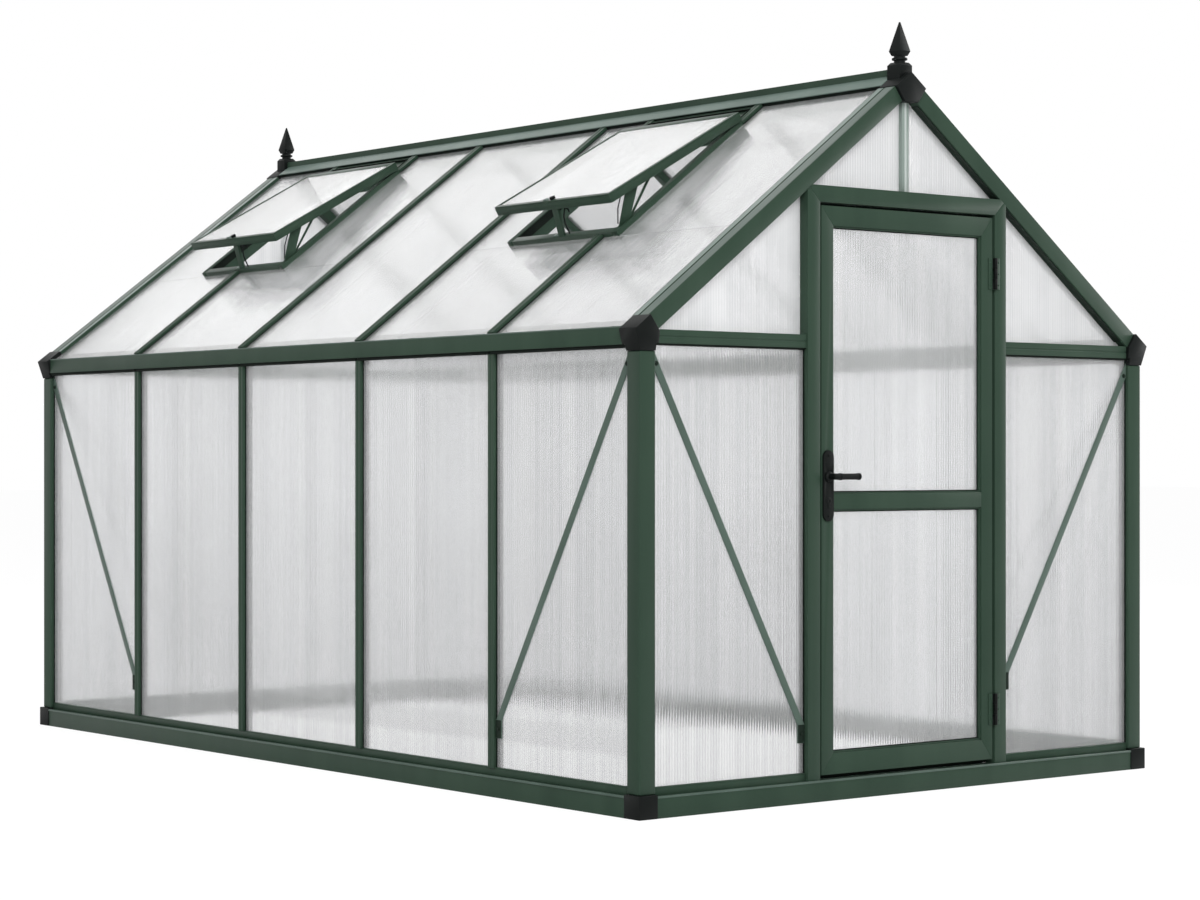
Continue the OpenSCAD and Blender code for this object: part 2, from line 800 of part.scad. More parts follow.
module sheets_front() {
    y0 = -half_l + sheet_inset;
    color(clear_sheet) both_sides() wall_box(jamb_x + sheet_fit,
        half_w - post_inner - sheet_fit, y0, y0 + sheet,
        sill_top + sheet_fit, gable_rail_z - sheet_fit);
}

// Sheets above the gable rails: two beside the door frame, one over it, one at the back.
module gable_sheets() {
    y0 = -half_l + gable_inset;
    low_z = gable_rail_top + sheet_fit;
    tip = ridge_low - [0, sheet_fit];
    over_z = door_frame_top + sheet_fit;
    under = -rafter_width - sheet_fit;
    side_x = jamb_x + sheet_fit;
    over_x = x_at_z(over_z, under);
    low_x = min(x_at_z(low_z, under), connector_inner_x - sheet_fit);
    color(clear_sheet) {
        both_sides() along_y(y0, y0 + sheet) polygon([
            [side_x, low_z], [low_x, low_z], [low_x, min(roof_z(low_x, under), low_z + cut)],
            [side_x, roof_z(side_x, under)]]);
        along_y(y0, y0 + sheet) polygon([
            [-over_x, over_z], [over_x, over_z], tip, [-tip[0], tip[1]]]);
        mirror([0, 1, 0]) along_y(y0, y0 + sheet) polygon([
            [-low_x, low_z], [low_x, low_z], tip, [-tip[0], tip[1]]]);
    }
}

module roof_sheet(y0, y1, s0, s1) {
    slope_box(s0, s1, y0, y1, sheet_under_n, sheet_top_n);
}

module roof_sheets_right() {
    edge = half_l - roof_end - sheet_fit;
    cuts = concat([-edge - end_gap], bar_ys, [edge + end_gap]);
    color(clear_sheet) on_slope(1) for (i = [0 : len(cuts) - 2])
        roof_sheet(cuts[i] + end_gap, cuts[i + 1] - end_gap, sheet_start_s, roof_end_s);
}

// On the left slope a bay beside a vent is split at the level of the curb's lower edge.
module roof_sheets_left() {
    edge = half_l - roof_end - sheet_fit;
    cuts = concat([-edge - end_gap], bar_ys, [edge + end_gap]);
    reach = vent_width / 2 + sheet_fit;
    low_s = vent_end + sheet_fit;
    color(clear_sheet) on_slope(-1) {
        for (i = [0 : len(cuts) - 2]) {
            y0 = cuts[i] + end_gap;
            y1 = cuts[i + 1] - end_gap;
            over = [for (v = vent_ys) if (v + reach > y0 + least_strip
                && v - reach < y1 - least_strip) v];
            if (len(over) == 0) roof_sheet(y0, y1, sheet_start_s, roof_end_s);
            else {
                roof_sheet(y0, y1, low_s, roof_end_s);
                if (over[0] - reach > y0 + least_strip)
                    roof_sheet(y0, over[0] - reach, sheet_start_s, low_s - sheet_fit);
                if (over[0] + reach < y1 - least_strip)
                    roof_sheet(over[0] + reach, y1, sheet_start_s, low_s - sheet_fit);
            }
        }
        for (v = vent_ys)
            roof_sheet(v - trimmer_offset + end_gap, v + trimmer_offset - end_gap,
                sheet_start_s, vent_top - sheet_fit);
    }
}

// ---- vents ----

module vent_curbs() {
    color(green) on_slope(-1) for (v = vent_ys) {
        for (e = [-1, 1])
            slope_box(vent_top, vent_end, v + e * trimmer_offset - curb_face / 2,
                v + e * trimmer_offset + curb_face / 2, curb_low_n, curb_top_n);
        for (s = [vent_top, vent_end - curb_face])
            slope_box(s, s + curb_face, v - trimmer_offset + curb_face / 2 + sheet_fit,
                v + trimmer_offset - curb_face / 2 - sheet_fit, curb_low_n, curb_top_n);
        slope_box(ridge_flange + sheet_fit, vent_top, v - trimmer_offset + bar_width / 2 + sheet_fit,
            v + trimmer_offset - bar_width / 2 - sheet_fit, sheet_top_n,
            sheet_top_n + vent_flashing);
    }
}

// Children are drawn with x = 0 on the sash's hinge edge and z = 0 on its underside.
module on_sash(v) {
    on_slope(-1) translate([sash_s, v, curb_top_n + seat]) rotate([0, -vent_angle, 0]) children();
}

module vent_sashes() {
    hw = sash_width / 2;
    color(green) for (v = vent_ys) on_sash(v) {
        for (e = [-hw, hw - sash_face])
            slope_box(0, sash_length, e, e + sash_face, 0, sash_thick);
        for (s = [0, sash_length - sash_face])
            slope_box(s, s + sash_face, -hw + sash_face + sheet_fit,
                hw - sash_face - sheet_fit, 0, sash_thick);
    }
}

module vent_panes() {
    hw = sash_width / 2 - sash_face - sheet_fit;
    color(clear_sheet) for (v = vent_ys) on_sash(v)
        slope_box(sash_face + sheet_fit, sash_length - sash_face - sheet_fit, -hw, hw,
            sash_thick - sheet - pane_sink, sash_thick - pane_sink);
}

// A plate on edge between curb and sash, from y0 to y1: its foot spans s0 to s1 on the curb,
// and its top lies further up the slope by lean.
module stay(y0, y1, s0, s1, lean) {
    function under_sash(s) = curb_top_n + (s - sash_s) * tan(vent_angle);
    translate([0, y1, 0]) rotate([90, 0, 0]) linear_extrude(y1 - y0) polygon([
        [s0, curb_top_n], [s1, curb_top_n],
        [s1 - lean, under_sash(s1 - lean)], [s0 - lean, under_sash(s0 - lean)]]);
}

// Each sash rests on a corner stay, a side stay and one in the middle of its lower bar.
module vent_stays() {
    y_side = trimmer_offset - stay_thick / 2;
    corner_s = vent_end - corner_stay_setback;
    side_s = vent_end - side_stay_setback;
    middle_s = vent_end - stay_setback;
    middle_y = (0.5 - middle_stay_share) * sash_width;
    color(green) on_slope(-1) for (v = vent_ys) {
        stay(v - y_side - stay_thick, v - y_side, corner_s - corner_stay, corner_s, stay_lean);
        stay(v - y_side - stay_thick, v - y_side, side_s - side_stay, side_s, side_stay_lean);
        stay(v + middle_y - middle_stay / 2, v + middle_y + middle_stay / 2,
            middle_s - 2 * stay_thick, middle_s, sash_short);
    }
}

module vent_knobs() {
    color(black) for (v = vent_ys) on_sash(v)
        translate([sash_length - sash_face / 2, 0, sash_thick])
            cylinder(h = knob_height, r = knob_r, $fn = turned_fn);
}

// ---- door ----

module door_stiles() {
    y0 = -half_l + door_inset;
    color(green) difference() {
        both_sides() wall_box(leaf_x - stile_face, leaf_x, y0, y0 + door_thick, leaf_z, leaf_top);
        translate([spindle_x, y0 - cut, spindle_z]) rotate([-90, 0, 0])
            cylinder(h = door_thick + 2 * cut, r = lever_r + stile_bore_gap, $fn = bore_fn);
    }
}

module door_rails() {
    x1 = leaf_x - stile_face;
    y0 = -half_l + door_inset;
    color(green) for (r = [
            [leaf_z, leaf_z + bottom_rail], [mid_rail_z, mid_rail_z + mid_rail],
            [leaf_top - top_rail, leaf_top]])
        wall_box(-x1, x1, y0, y0 + door_thick, r[0], r[1]);
}

module door_panes() {
    x1 = leaf_x - stile_face - sheet_fit;
    y0 = -half_l + pane_front;
    color(clear_sheet) for (r = [
            [leaf_z + bottom_rail, mid_rail_z], [mid_rail_z + mid_rail, leaf_top - top_rail]])
        wall_box(-x1, x1, y0, y0 + sheet, r[0] + sheet_fit, r[1] - sheet_fit);
}

module handle_plate(y0) {
    r = plate_width / 2;
    translate([spindle_x, y0 + plate_thick, plate_z]) rotate([90, 0, 0])
        linear_extrude(plate_thick) difference() {
            union() {
                translate([-r, r]) square([plate_width, plate_height - plate_width]);
                for (z = [r, plate_height - r]) translate([0, z]) circle(r, $fn = turned_fn);
            }
            translate([0, lever_rise]) circle(lever_r + pin_fit, $fn = turned_fn);
        }
}

module handle_plates() {
    color(black) {
        handle_plate(-half_l + door_inset - plate_thick);
        handle_plate(-half_l + leaf_back);
    }
}

// One lever of the handle; y grows away from the door.
module lever_arm() {
    rotate([90, 0, 0]) cylinder(h = lever_reach, r = lever_r, $fn = turned_fn);
    translate([0, -lever_reach, 0]) {
        sphere(r = lever_r, $fn = turned_fn);
        rotate([0, 90, 0])
            cylinder(h = lever_length - lever_r, r = lever_r, $fn = turned_fn);
        translate([lever_length - lever_r, 0, 0]) sphere(r = lever_r, $fn = turned_fn);
    }
}

module handle_lever() {
    y0 = -half_l + door_inset;
    color(black) translate([spindle_x, 0, spindle_z]) {
        translate([0, y0, 0]) lever_arm();
        translate([0, y0 + door_thick, 0]) mirror([0, 1, 0]) lever_arm();
        translate([0, y0 + door_thick + cut, 0]) rotate([90, 0, 0])
            cylinder(h = door_thick + 2 * cut, r = spindle_r, $fn = bore_fn);
    }
}

// ---- hinges ----

module knuckle(z0, z1) {
    translate([hinge_x, hinge_y, z0]) cylinder(h = z1 - z0, r = knuckle_r, $fn = turned_fn);
}

// Middle knuckle, its leaf on the jamb and the pin, which it carries.
module hinge_jamb_leaves() {
    half = hinge_height / 6 - knuckle_gap;
    y1 = -half_l + frame_inset;
    color(black) for (z = hinge_zs) {
        knuckle(z - half, z + half);
        translate([hinge_x, hinge_y, z - hinge_height / 2])
            cylinder(h = hinge_height, r = hinge_pin_r, $fn = turned_fn);
        wall_box(hinge_x, hinge_x + hinge_leaf, y1 - hinge_thick, y1, z - half, z + half);
        wall_box(hinge_x + knuckle_r + knuckle_gap, hinge_x + hinge_leaf, y1 - hinge_thick, y1,
            z - hinge_height / 2, z + hinge_height / 2);
    }
}

// Outer knuckles and their leaf on the door's face.
module hinge_door_leaves() {
    third = hinge_height / 3;
    y1 = -half_l + door_inset;
    color(black) for (z = hinge_zs) difference() {
        union() {
            for (e = [-1, 1]) {
                z0 = z + e * third - third / 2;
                knuckle(z0, z0 + third);
                wall_box(hinge_x - knuckle_r, hinge_x, hinge_y, y1, z0, z0 + third);
            }
            wall_box(hinge_x - hinge_leaf, hinge_x - knuckle_r, y1 - hinge_thick, y1,
                z - hinge_height / 2, z + hinge_height / 2);
        }
        translate([hinge_x, hinge_y, z - hinge_height / 2 - cut])
            cylinder(h = hinge_height + 2 * cut, r = hinge_pin_r + pin_fit, $fn = turned_fn);
    }
}

base_front();
base_back();
base_left();
base_right();
base_corners();
wall_sills();
corner_posts();
side_bars_left();
side_bars_right();
back_bars();
eave_rail_left();
eave_rail_right();
gable_rails();
rafters_front();
rafters_back();
ridge_bar();
roof_bars_left();
roof_bars_right();
gable_mullions();
eave_connectors();
ridge_connectors();
finials();
braces();
door_jambs();
door_header();
door_stops();
sheets_left();
sheets_right();
sheets_back();
sheets_front();
gable_sheets();
roof_sheets_left();
roof_sheets_right();
vent_curbs();
vent_sashes();
vent_panes();
vent_stays();
vent_knobs();
door_stiles();
door_rails();
door_panes();
handle_plates();
handle_lever();
hinge_jamb_leaves();
hinge_door_leaves();
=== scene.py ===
import json
import math

import bmesh
import bpy
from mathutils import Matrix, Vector


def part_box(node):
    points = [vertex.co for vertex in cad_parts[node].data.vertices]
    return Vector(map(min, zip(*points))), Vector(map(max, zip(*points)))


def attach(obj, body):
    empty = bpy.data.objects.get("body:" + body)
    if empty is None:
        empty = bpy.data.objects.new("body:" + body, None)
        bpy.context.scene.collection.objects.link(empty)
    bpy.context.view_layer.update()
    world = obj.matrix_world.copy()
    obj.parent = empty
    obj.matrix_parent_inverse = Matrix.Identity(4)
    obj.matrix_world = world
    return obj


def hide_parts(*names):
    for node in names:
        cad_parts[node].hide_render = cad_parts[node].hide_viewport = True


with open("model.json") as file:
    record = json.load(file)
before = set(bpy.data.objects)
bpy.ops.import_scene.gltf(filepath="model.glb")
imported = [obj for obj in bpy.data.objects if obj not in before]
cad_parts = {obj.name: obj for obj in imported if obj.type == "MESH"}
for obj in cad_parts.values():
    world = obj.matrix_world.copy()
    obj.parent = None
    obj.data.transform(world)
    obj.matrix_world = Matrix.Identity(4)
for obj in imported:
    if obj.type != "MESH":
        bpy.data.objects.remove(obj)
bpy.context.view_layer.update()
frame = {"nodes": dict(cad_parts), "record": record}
nodes = frame["nodes"]

# ---------------------------------------------------------------- camera

CAMERA_PLACE = (-5.222, -6.676, 0.876)
CAMERA_YAW = -0.660
CAMERA_LENS = 83.45
CAMERA_SHIFT = (0.05, 0.006)

camera_data = bpy.data.cameras.new("camera")
camera_data.sensor_width = 36
camera_data.lens = CAMERA_LENS
camera_data.shift_x, camera_data.shift_y = CAMERA_SHIFT
camera_data.clip_start = 0.1
camera_data.clip_end = 200
camera = bpy.data.objects.new("camera", camera_data)
camera.location = CAMERA_PLACE
camera.rotation_euler = (math.pi / 2, 0, CAMERA_YAW)
bpy.context.scene.collection.objects.link(camera)
bpy.context.scene.camera = camera
bpy.context.scene.view_settings.view_transform = "Standard"

# ---------------------------------------------------------------- sizes, in metres

MM = 0.001
X, Y, Z = Vector((1, 0, 0)), Vector((0, 1, 0)), Vector((0, 0, 1))

PITCH = math.radians(36.6)
VENT_TURN = math.radians(8)  # how far the propped vents stand open
EAVE_Z = 1.194  # where the roof's outline passes over the base's sides
RAIL_INSET = 66 * MM  # from the base's end to the end of an eave rail
HALF_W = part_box("base_right")[1].x
HALF_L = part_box("eave_rail_left")[1].y + RAIL_INSET
APEX_Z = EAVE_Z + HALF_W * math.tan(PITCH)

SHEET_INSET = 20 * MM  # from the base's face to the wall sheets' outer faces
SHEET_DROP = 10 * MM  # from the roof's outline down to the roof sheets' outer faces
SHEETS_LOW, SHEETS_HIGH = (corner.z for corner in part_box("sheets_left"))
POST_EDGE = 57 * MM  # from a corner of the base to its post's inner edge
JAMB_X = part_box("door_jambs")[1].x

RIB_PITCH = 9 * MM  # from rib to rib inside a twin-wall sheet
FLUTE_STEPS = 4  # columns of corners from rib to rib
RELIEF = 0.3 * MM  # how far a sheet's face sinks over its ribs, on average
VENT_LAP = 11 * MM  # how far a vent's pane runs out over its sash

# For each wall: along it, out of it, its half length, and how far out its base's face is.
WALLS = {"front": (X, -Y, HALF_W, HALF_L), "back": (X, Y, HALF_W, HALF_L),
         "left": (Y, -X, HALF_L, HALF_W), "right": (Y, X, HALF_L, HALF_W)}
BARS = {"left": "side_bars_left", "right": "side_bars_right", "back": "back_bars"}

# ---------------------------------------------------------------- node trees


class Tree:
    """The node tree of a material or world, with short calls for the nodes used here."""

    def __init__(self, owner):
        owner.use_nodes = True
        self.owner, self.tree = owner, owner.node_tree
        self.tree.nodes.clear()

    def node(self, kind, inputs=None, **settings):
        """A new node. Its inputs are values or other nodes' outputs."""
        made = self.tree.nodes.new(kind)
        for key, value in settings.items():
            setattr(made, key, value)
        for key, value in (inputs or {}).items():
            if isinstance(value, bpy.types.NodeSocket):
                self.tree.links.new(value, made.inputs[key])
            else:
                made.inputs[key].default_value = value
        return made

    def point(self):
        """The place on the piece, in metres."""
        return self.node("ShaderNodeTexCoord").outputs["Object"]

    def coords(self, scale=(1, 1, 1)):
        """The place on the piece, scaled along each axis."""
        return self.node("ShaderNodeMapping", {"Vector": self.point(), "Scale": scale}).outputs[0]

    def axes(self, vector):
        """A vector's X, Y and Z."""
        return self.node("ShaderNodeSeparateXYZ", {0: vector}).outputs

    def noise(self, vector, scale, detail=2.0, rough=0.5):
        return self.node("ShaderNodeTexNoise", {
            "Vector": vector, "Scale": scale, "Detail": detail, "Roughness": rough}).outputs["Fac"]

    def ranged(self, value, low, high, to_low, to_high):
        """A value from one range carried over to another and kept within it."""
        return self.node("ShaderNodeMapRange", {
            "Value": value, "From Min": low, "From Max": high,
            "To Min": to_low, "To Max": to_high}).outputs[0]

    def math(self, operation, a, b=0.0):
        return self.node("ShaderNodeMath", {0: a, 1: b}, operation=operation).outputs[0]

    def total(self, *shares):
        """The sum of values, each times its weight, from (value, weight) pairs."""
        terms = [self.math("MULTIPLY", value, weight) for value, weight in shares]
        whole = terms[0]
        for term in terms[1:]:
            whole = self.math("ADD", whole, term)
        return whole

    def mix(self, factor, a, b):
        """A colour between a, at factor 0, and b, at factor 1."""
        return self.node("ShaderNodeMix", {0: factor, 6: a, 7: b}, data_type="RGBA").outputs[2]

    def blend(self, share, first, second):
        """A shader between two others."""
        return self.node("ShaderNodeMixShader", {0: share, 1: first, 2: second}).outputs[0]

    def bump(self, height, strength, distance):
        return self.node("ShaderNodeBump", {
            "Height": height, "Strength": strength, "Distance": distance}).outputs[0]

    def out(self, shader, kind="ShaderNodeOutputMaterial"):
        """Ends the tree with a shader, and returns its material or world."""
        self.node(kind, {"Surface": shader})
        return self.owner


def rgb(r, g, b):
    """A colour given in display values from 0 to 255, as the linear colour that shaders take."""
    return tuple(
        (c / 255 / 12.92) if c <= 10 else ((c / 255 + 0.055) / 1.055) ** 2.4 for c in (r, g, b)
    ) + (1,)


def coat(name, dark, light, rough=0.42, speckle=0.25, specular=0.16, band=None):
    """Powder coat or moulded plastic: cloudy tone, fine grain, runs down the bars, dull spots.

    A band is (x, half width, colour): within that half width of x the coat has that colour.
    """
    t = Tree(bpy.data.materials.new(name))
    where = t.coords()
    patches = t.noise(where, 3.0, 3)
    grain = t.noise(where, 420, 2)
    runs = t.noise(t.coords((9, 9, 0.7)), 1.0, 3)
    tone = t.total((patches, 0.45), (runs, 0.55))
    base = t.mix(t.ranged(tone, 0.35, 0.65, 0, 1), dark, light)
    base = t.mix(t.ranged(grain, 0.35, 0.75, 0, speckle), base, light)
    if band:
        middle, half, colour = band
        away = t.math("ABSOLUTE", t.math("SUBTRACT", t.axes(t.point())["X"], middle))
        base = t.mix(t.math("LESS_THAN", away, half), base, colour)
    dull = t.total((patches, 1.0), (grain, 0.5))
    shader = t.node("ShaderNodeBsdfPrincipled", {
        "Base Color": base, "Roughness": t.ranged(dull, 0.5, 1.0, rough - 0.07, rough + 0.09),
        "Specular IOR Level": specular, "Normal": t.bump(grain, 0.25, 0.0004)})
    return t.out(shader.outputs[0])


def sheet_material(name, stretch, tone, clear, shine):
    """Twin-wall sheet, with streaks along its flutes, and darker towards the ground.

    stretch scales the streaks: small along the flutes and large across them. tone is how bright
    the sheet is painted, and a tone below 1 is painted shade; clear is how much passes through
    it, and shine how strongly it reflects.
    """
    t = Tree(bpy.data.materials.new(name))
    broad = t.noise(t.coords(tuple(16 * s for s in stretch)), 1.0, 2)
    across = t.axes(t.coords(tuple((s > 0.5) / RIB_PITCH for s in stretch)))
    turns = t.math("ADD", across["X"], across["Y"])
    # Each flute has a tone of its own, and a comb of light and dark runs from rib to rib.
    own = t.node("ShaderNodeTexWhiteNoise", {"W": t.math("FLOOR", turns)},
                 noise_dimensions="1D").outputs["Value"]
    comb = t.math("SINE", t.math("MULTIPLY", turns, 2 * math.pi))
    streak = t.total((own, 0.5), (comb, 0.35), (broad, 0.4))
    clouds = t.noise(t.coords(), 2.2, 2)
    height = t.total((t.axes(t.point())["Z"], 1.0), (clouds, 0.5))
    base = t.mix(t.ranged(streak, 0.1, 0.9, 0, 1), rgb(230, 231, 232), rgb(255, 255, 255))
    base = t.mix(t.ranged(clouds, 0.4, 0.7, 0, 0.2), base, rgb(244, 245, 246))
    # The sheet grows darker towards the ground, and a tone below 1 darkens it all over as painted
    # shade.
    darker_low = t.node("ShaderNodeHueSaturation", {
        "Color": base, "Value": t.ranged(height, 0.25, 1.1, 0.84 * tone, tone)}).outputs[0]
    shader = t.node("ShaderNodeBsdfPrincipled", {
        "Base Color": darker_low, "Roughness": t.ranged(broad, 0.3, 0.7, 0.035, 0.09),
        "Alpha": t.ranged(streak, 0.1, 0.9, 0.9, 0.78),
        "Transmission Weight": clear, "IOR": 1.5, "Specular IOR Level": shine,
        "Normal": t.bump(streak, 0.3, 0.0005)}).outputs[0]
    open_to_lamps = t.node("ShaderNodeBsdfTransparent", {"Color": (0.96, 0.96, 0.97, 1)}).outputs[0]
    shadow = t.node("ShaderNodeLightPath").outputs["Is Shadow Ray"]
    return t.out(t.blend(t.math("MULTIPLY", shadow, 0.9), shader, open_to_lamps))


GREEN_TONES = rgb(44, 63, 51), rgb(54, 73, 60)
GREEN = coat("green_powder_coat", *GREEN_TONES, 0.42, specular=0.12)
# A lighter copy of the green coat: painted highlight on the base's and gutters' top edges, the
# rafters' tops and the braces.
SOFT_LIT_GREEN = coat("green_coat_painted_soft_highlight", rgb(70, 87, 78), rgb(86, 103, 94), 0.4, specular=0.2)
# A still lighter copy of the green coat: painted highlight of the sky on the ridge, the rafters' tops
# and the vents' catches.
SKY_LIT_GREEN = coat("green_coat_painted_sky_highlight", rgb(92, 110, 102), rgb(110, 128, 120), 0.35, specular=0.3)
# A pale copy of the green coat: painted highlight on the gable uprights.
PALE_LIT_GREEN = coat("green_coat_painted_pale_highlight", rgb(124, 138, 131), rgb(142, 156, 149), 0.35, specular=0.3)
# A near-white colour: painted highlight down the middle of the gable uprights.
BEAD_HIGHLIGHT = coat("bead_painted_highlight", rgb(170, 180, 176), rgb(190, 198, 194), 0.3, specular=0.4)
DARK_GREEN = coat("green_shaded_coat", rgb(22, 32, 26), rgb(32, 44, 36), 0.5, specular=0.1)
BLACK = coat("black_moulded_plastic", rgb(13, 16, 15), rgb(21, 25, 24), 0.5, 0.4, 0.1)
# Black rubber for real gaskets, and for dark strips that paint the shade in gaps between parts.
RUBBER_AND_SHADE = coat("black_rubber_and_painted_shade", rgb(14, 20, 17), rgb(22, 30, 25), 0.7, 0.3, 0.08)

# The sheets are all one polycarbonate: the tones below 1 on the front, roof and vent sheets are
# painted shade.
UPRIGHT, DOWN_SLOPE = (1, 1, 0.01), (0.01, 1, 0.01)
WALL_SHEET = sheet_material("sheet_upright_flutes", UPRIGHT, 1.0, 0.75, 0.3)
FRONT_SHEET = sheet_material("sheet_front_flutes", UPRIGHT, 0.94, 0.8, 0.3)
GABLE_SHEET = sheet_material("sheet_gable_flutes", UPRIGHT, 1.0, 0.6, 0.6)
ROOF_SHEET = sheet_material("sheet_roof_flutes", DOWN_SLOPE, 0.8, 0.8, 0.08)
VENT_SHEET = sheet_material("sheet_vent_flutes", DOWN_SLOPE, 0.72, 0.8, 0.08)

# ---------------------------------------------------------------- mesh building


def millimetres(points):
    """Pairs given in millimetres, as metres."""
    return [(a * MM, b * MM) for a, b in points]


def rectangle(a0, b0, a1, b1):
    """The four corners of a rectangle."""
    return [(a0, b0), (a1, b0), (a1, b1), (a0, b1)]


def inset(rect, by):
    """A rectangle (a0, b0, a1, b1) made smaller on all four sides."""
    return rect[0] + by, rect[1] + by, rect[2] - by, rect[3] - by


def circle(steps):
    """The cosine and sine of each step round a circle."""
    turns = [2 * math.pi * k / steps for k in range(steps)]
    return [(math.cos(a), math.sin(a)) for a in turns]


class Mesh:
    """Collects closed solids and turns them into one piece."""

    def __init__(self):
        self.verts, self.faces = [], []

    def prism(self, outline, place, a_axis, b_axis, depth_axis, depth):
        """An outline of (a, b) pairs pushed along depth_axis."""
        n, base = len(outline), len(self.verts)
        for d in (0, depth):
            for a, b in outline:
                self.verts.append(place + a_axis * a + b_axis * b + depth_axis * d)
        self.faces.append(tuple(base + i for i in range(n)))
        self.faces.append(tuple(base + n + i for i in reversed(range(n))))
        for i in range(n):
            j = (i + 1) % n
            self.faces.append((base + j, base + i, base + n + i, base + n + j))

    def box(self, low, high):
        """An upright box between two corners."""
        self.prism(rectangle(low[0], low[1], high[0], high[1]),
                   Z * low[2], X, Y, Z, high[2] - low[2])

    def mitred(self, outer, inner, place, a_axis, b_axis, depth_axis, depth, gap=0.3 * MM):
        """Four bars with mitred corners between two rectangles, each (a0, b0, a1, b1)."""
        o, i = ([Vector(corner) for corner in rectangle(*rect)] for rect in (outer, inner))
        for k in range(4):
            n = (k + 1) % 4
            back = (o[n] - o[k]).normalized() * gap / 2
            self.prism([o[k] + back, o[n] - back, i[n] - back, i[k] + back],
                       place, a_axis, b_axis, depth_axis, depth)

    def plate(self, outline, hole, place, a_axis, b_axis, depth_axis, depth):
        """Four corners, anticlockwise from low a and b, with one round hole, pushed along depth_axis.

        Each face is two parts that meet on a level line through the hole.
        """
        level, steps, base = hole[0][1], len(hole), len(self.verts)
        rim = [outline[0], outline[1], (outline[1][0], level),
               outline[2], outline[3], (outline[0][0], level)]
        row = len(rim) + steps
        for d in (0, depth):
            for a, b in rim + hole:
                self.verts.append(place + a_axis * a + b_axis * b + depth_axis * d)
        ring = [len(rim) + k % steps for k in range(steps + 1)]
        half = steps // 2
        for face in ([5, 0, 1, 2] + ring[half:][::-1], [2, 3, 4, 5] + ring[:half + 1][::-1]):
            self.faces.append(tuple(base + k for k in face))
            self.faces.append(tuple(base + row + k for k in reversed(face)))
        for first, count in ((0, len(rim)), (len(rim), steps)):
            for k in range(count):
                i, j = base + first + k, base + first + (k + 1) % count
                self.faces.append((i, j, j + row, i + row))

    def ring(self, middle, side, other, radius, steps):
        """The corners of one ring, in the plane of two directions."""
        for cos, sin in circle(steps):
            self.verts.append(middle + (side * cos + other * sin) * radius)

    def bands(self, base, rings, steps):
        """The faces between rings of corners, the first of which starts at base."""
        for row in range(rings - 1):
            for k in range(steps):
                i, j = base + row * steps + k, base + row * steps + (k + 1) % steps
                self.faces.append((i, j, j + steps, i + steps))

    def turned(self, profile, place, axis, steps=20):
        """A profile of (radius, height) pairs turned round an axis; its ends are flat caps."""
        side = axis.orthogonal().normalized()
        other = axis.cross(side)
        base = len(self.verts)
        for radius, height in profile:
            self.ring(place + axis * height, side, other, radius, steps)
        self.bands(base, len(profile), steps)
        self.faces.append(tuple(base + k for k in reversed(range(steps))))
        self.faces.append(tuple(base + (len(profile) - 1) * steps + k for k in range(steps)))

    def rod(self, points, radius, sides=8):
        """A round rod along a few points."""
        base = len(self.verts)
        for i, point in enumerate(points):
            before, after = points[max(i - 1, 0)], points[min(i + 1, len(points) - 1)]
            axis = (after - before).normalized()
            side = axis.cross(Y if abs(axis.y) < 0.9 else X).normalized()
            self.ring(point, side, axis.cross(side), radius, sides)
        self.bands(base, len(points), sides)
        last = base + (len(points) - 1) * sides
        self.faces.append(tuple(base + k for k in range(sides)))
        self.faces.append(tuple(last + k for k in reversed(range(sides))))

    def piece(self, name, body, material, replaces=(), bevel=0.0, smooth=0):
        """Makes the piece. smooth is the angle in degrees up to which its faces shade as one."""
        data = bpy.data.meshes.new(name)
        data.from_pydata([tuple(corner) for corner in self.verts], [], self.faces)
        mesh = bmesh.new()
        mesh.from_mesh(data)
        bmesh.ops.recalc_face_normals(mesh, faces=mesh.faces)
        if bevel:
            sharp = [edge for edge in mesh.edges if edge.calc_face_angle(0) > 0.5]
            bmesh.ops.bevel(mesh, geom=sharp, offset=bevel, segments=2, profile=0.5,
                            affect="EDGES", clamp_overlap=True)
        mesh.to_mesh(data)
        mesh.free()
        if smooth:
            data.polygons.foreach_set("use_smooth", [True] * len(data.polygons))
            data.set_sharp_from_angle(angle=math.radians(smooth))
        data.materials.append(material)
        ob = bpy.data.objects.new(name, data)
        bpy.context.scene.collection.objects.link(ob)
        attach(ob, body)
        if replaces:
            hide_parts(*replaces)
        return ob


def trim(name, material, fill, body="greenhouse", replaces=(), bevel=0.0):
    """A piece whose solids come from a function that takes the mesh."""
    m = Mesh()
    fill(m)
    return m.piece(name, body, material, replaces, bevel, smooth=35 if bevel else 0)


# ---------------------------------------------------------------- reading the CAD nodes


def islands(name):
    """The corners of each solid of a CAD node, as lists of points."""
    mesh = bmesh.new()
    mesh.from_mesh(nodes[name].data)
    bmesh.ops.remove_doubles(mesh, verts=mesh.verts, dist=1e-6)
    left, found = set(mesh.verts), []
    while left:
        group, heap = [], [left.pop()]
        while heap:
            corner = heap.pop()
            group.append(corner.co.copy())
            for edge in corner.link_edges:
                other = edge.other_vert(corner)
                if other in left:
                    left.remove(other)
                    heap.append(other)
        found.append(sorted(group, key=tuple))
    mesh.free()
    return sorted(found, key=lambda g: tuple(round(c, 5) for c in min(g, key=tuple)))


def span(points, axis):
    """The lowest and highest place of some points along an axis."""
    values = [p.dot(axis) for p in points]
    return min(values), max(values)


def spans(points, *axes):
    """The span of some points along each of several axes."""
    return [span(points, axis) for axis in axes]


def slope_span(points, axis):
    """The span of some points along an axis, from the roof's apex."""
    return span([p - Z * APEX_Z for p in points], axis)


def wall_axes(points):
    """(along, out) of the wall that a solid lies on."""
    wide, deep = (high - low for low, high in spans(points, X, Y))
    along, side = (X, Y) if wide > deep else (Y, X)
    return along, side if sum(p.dot(side) for p in points) > 0 else -side


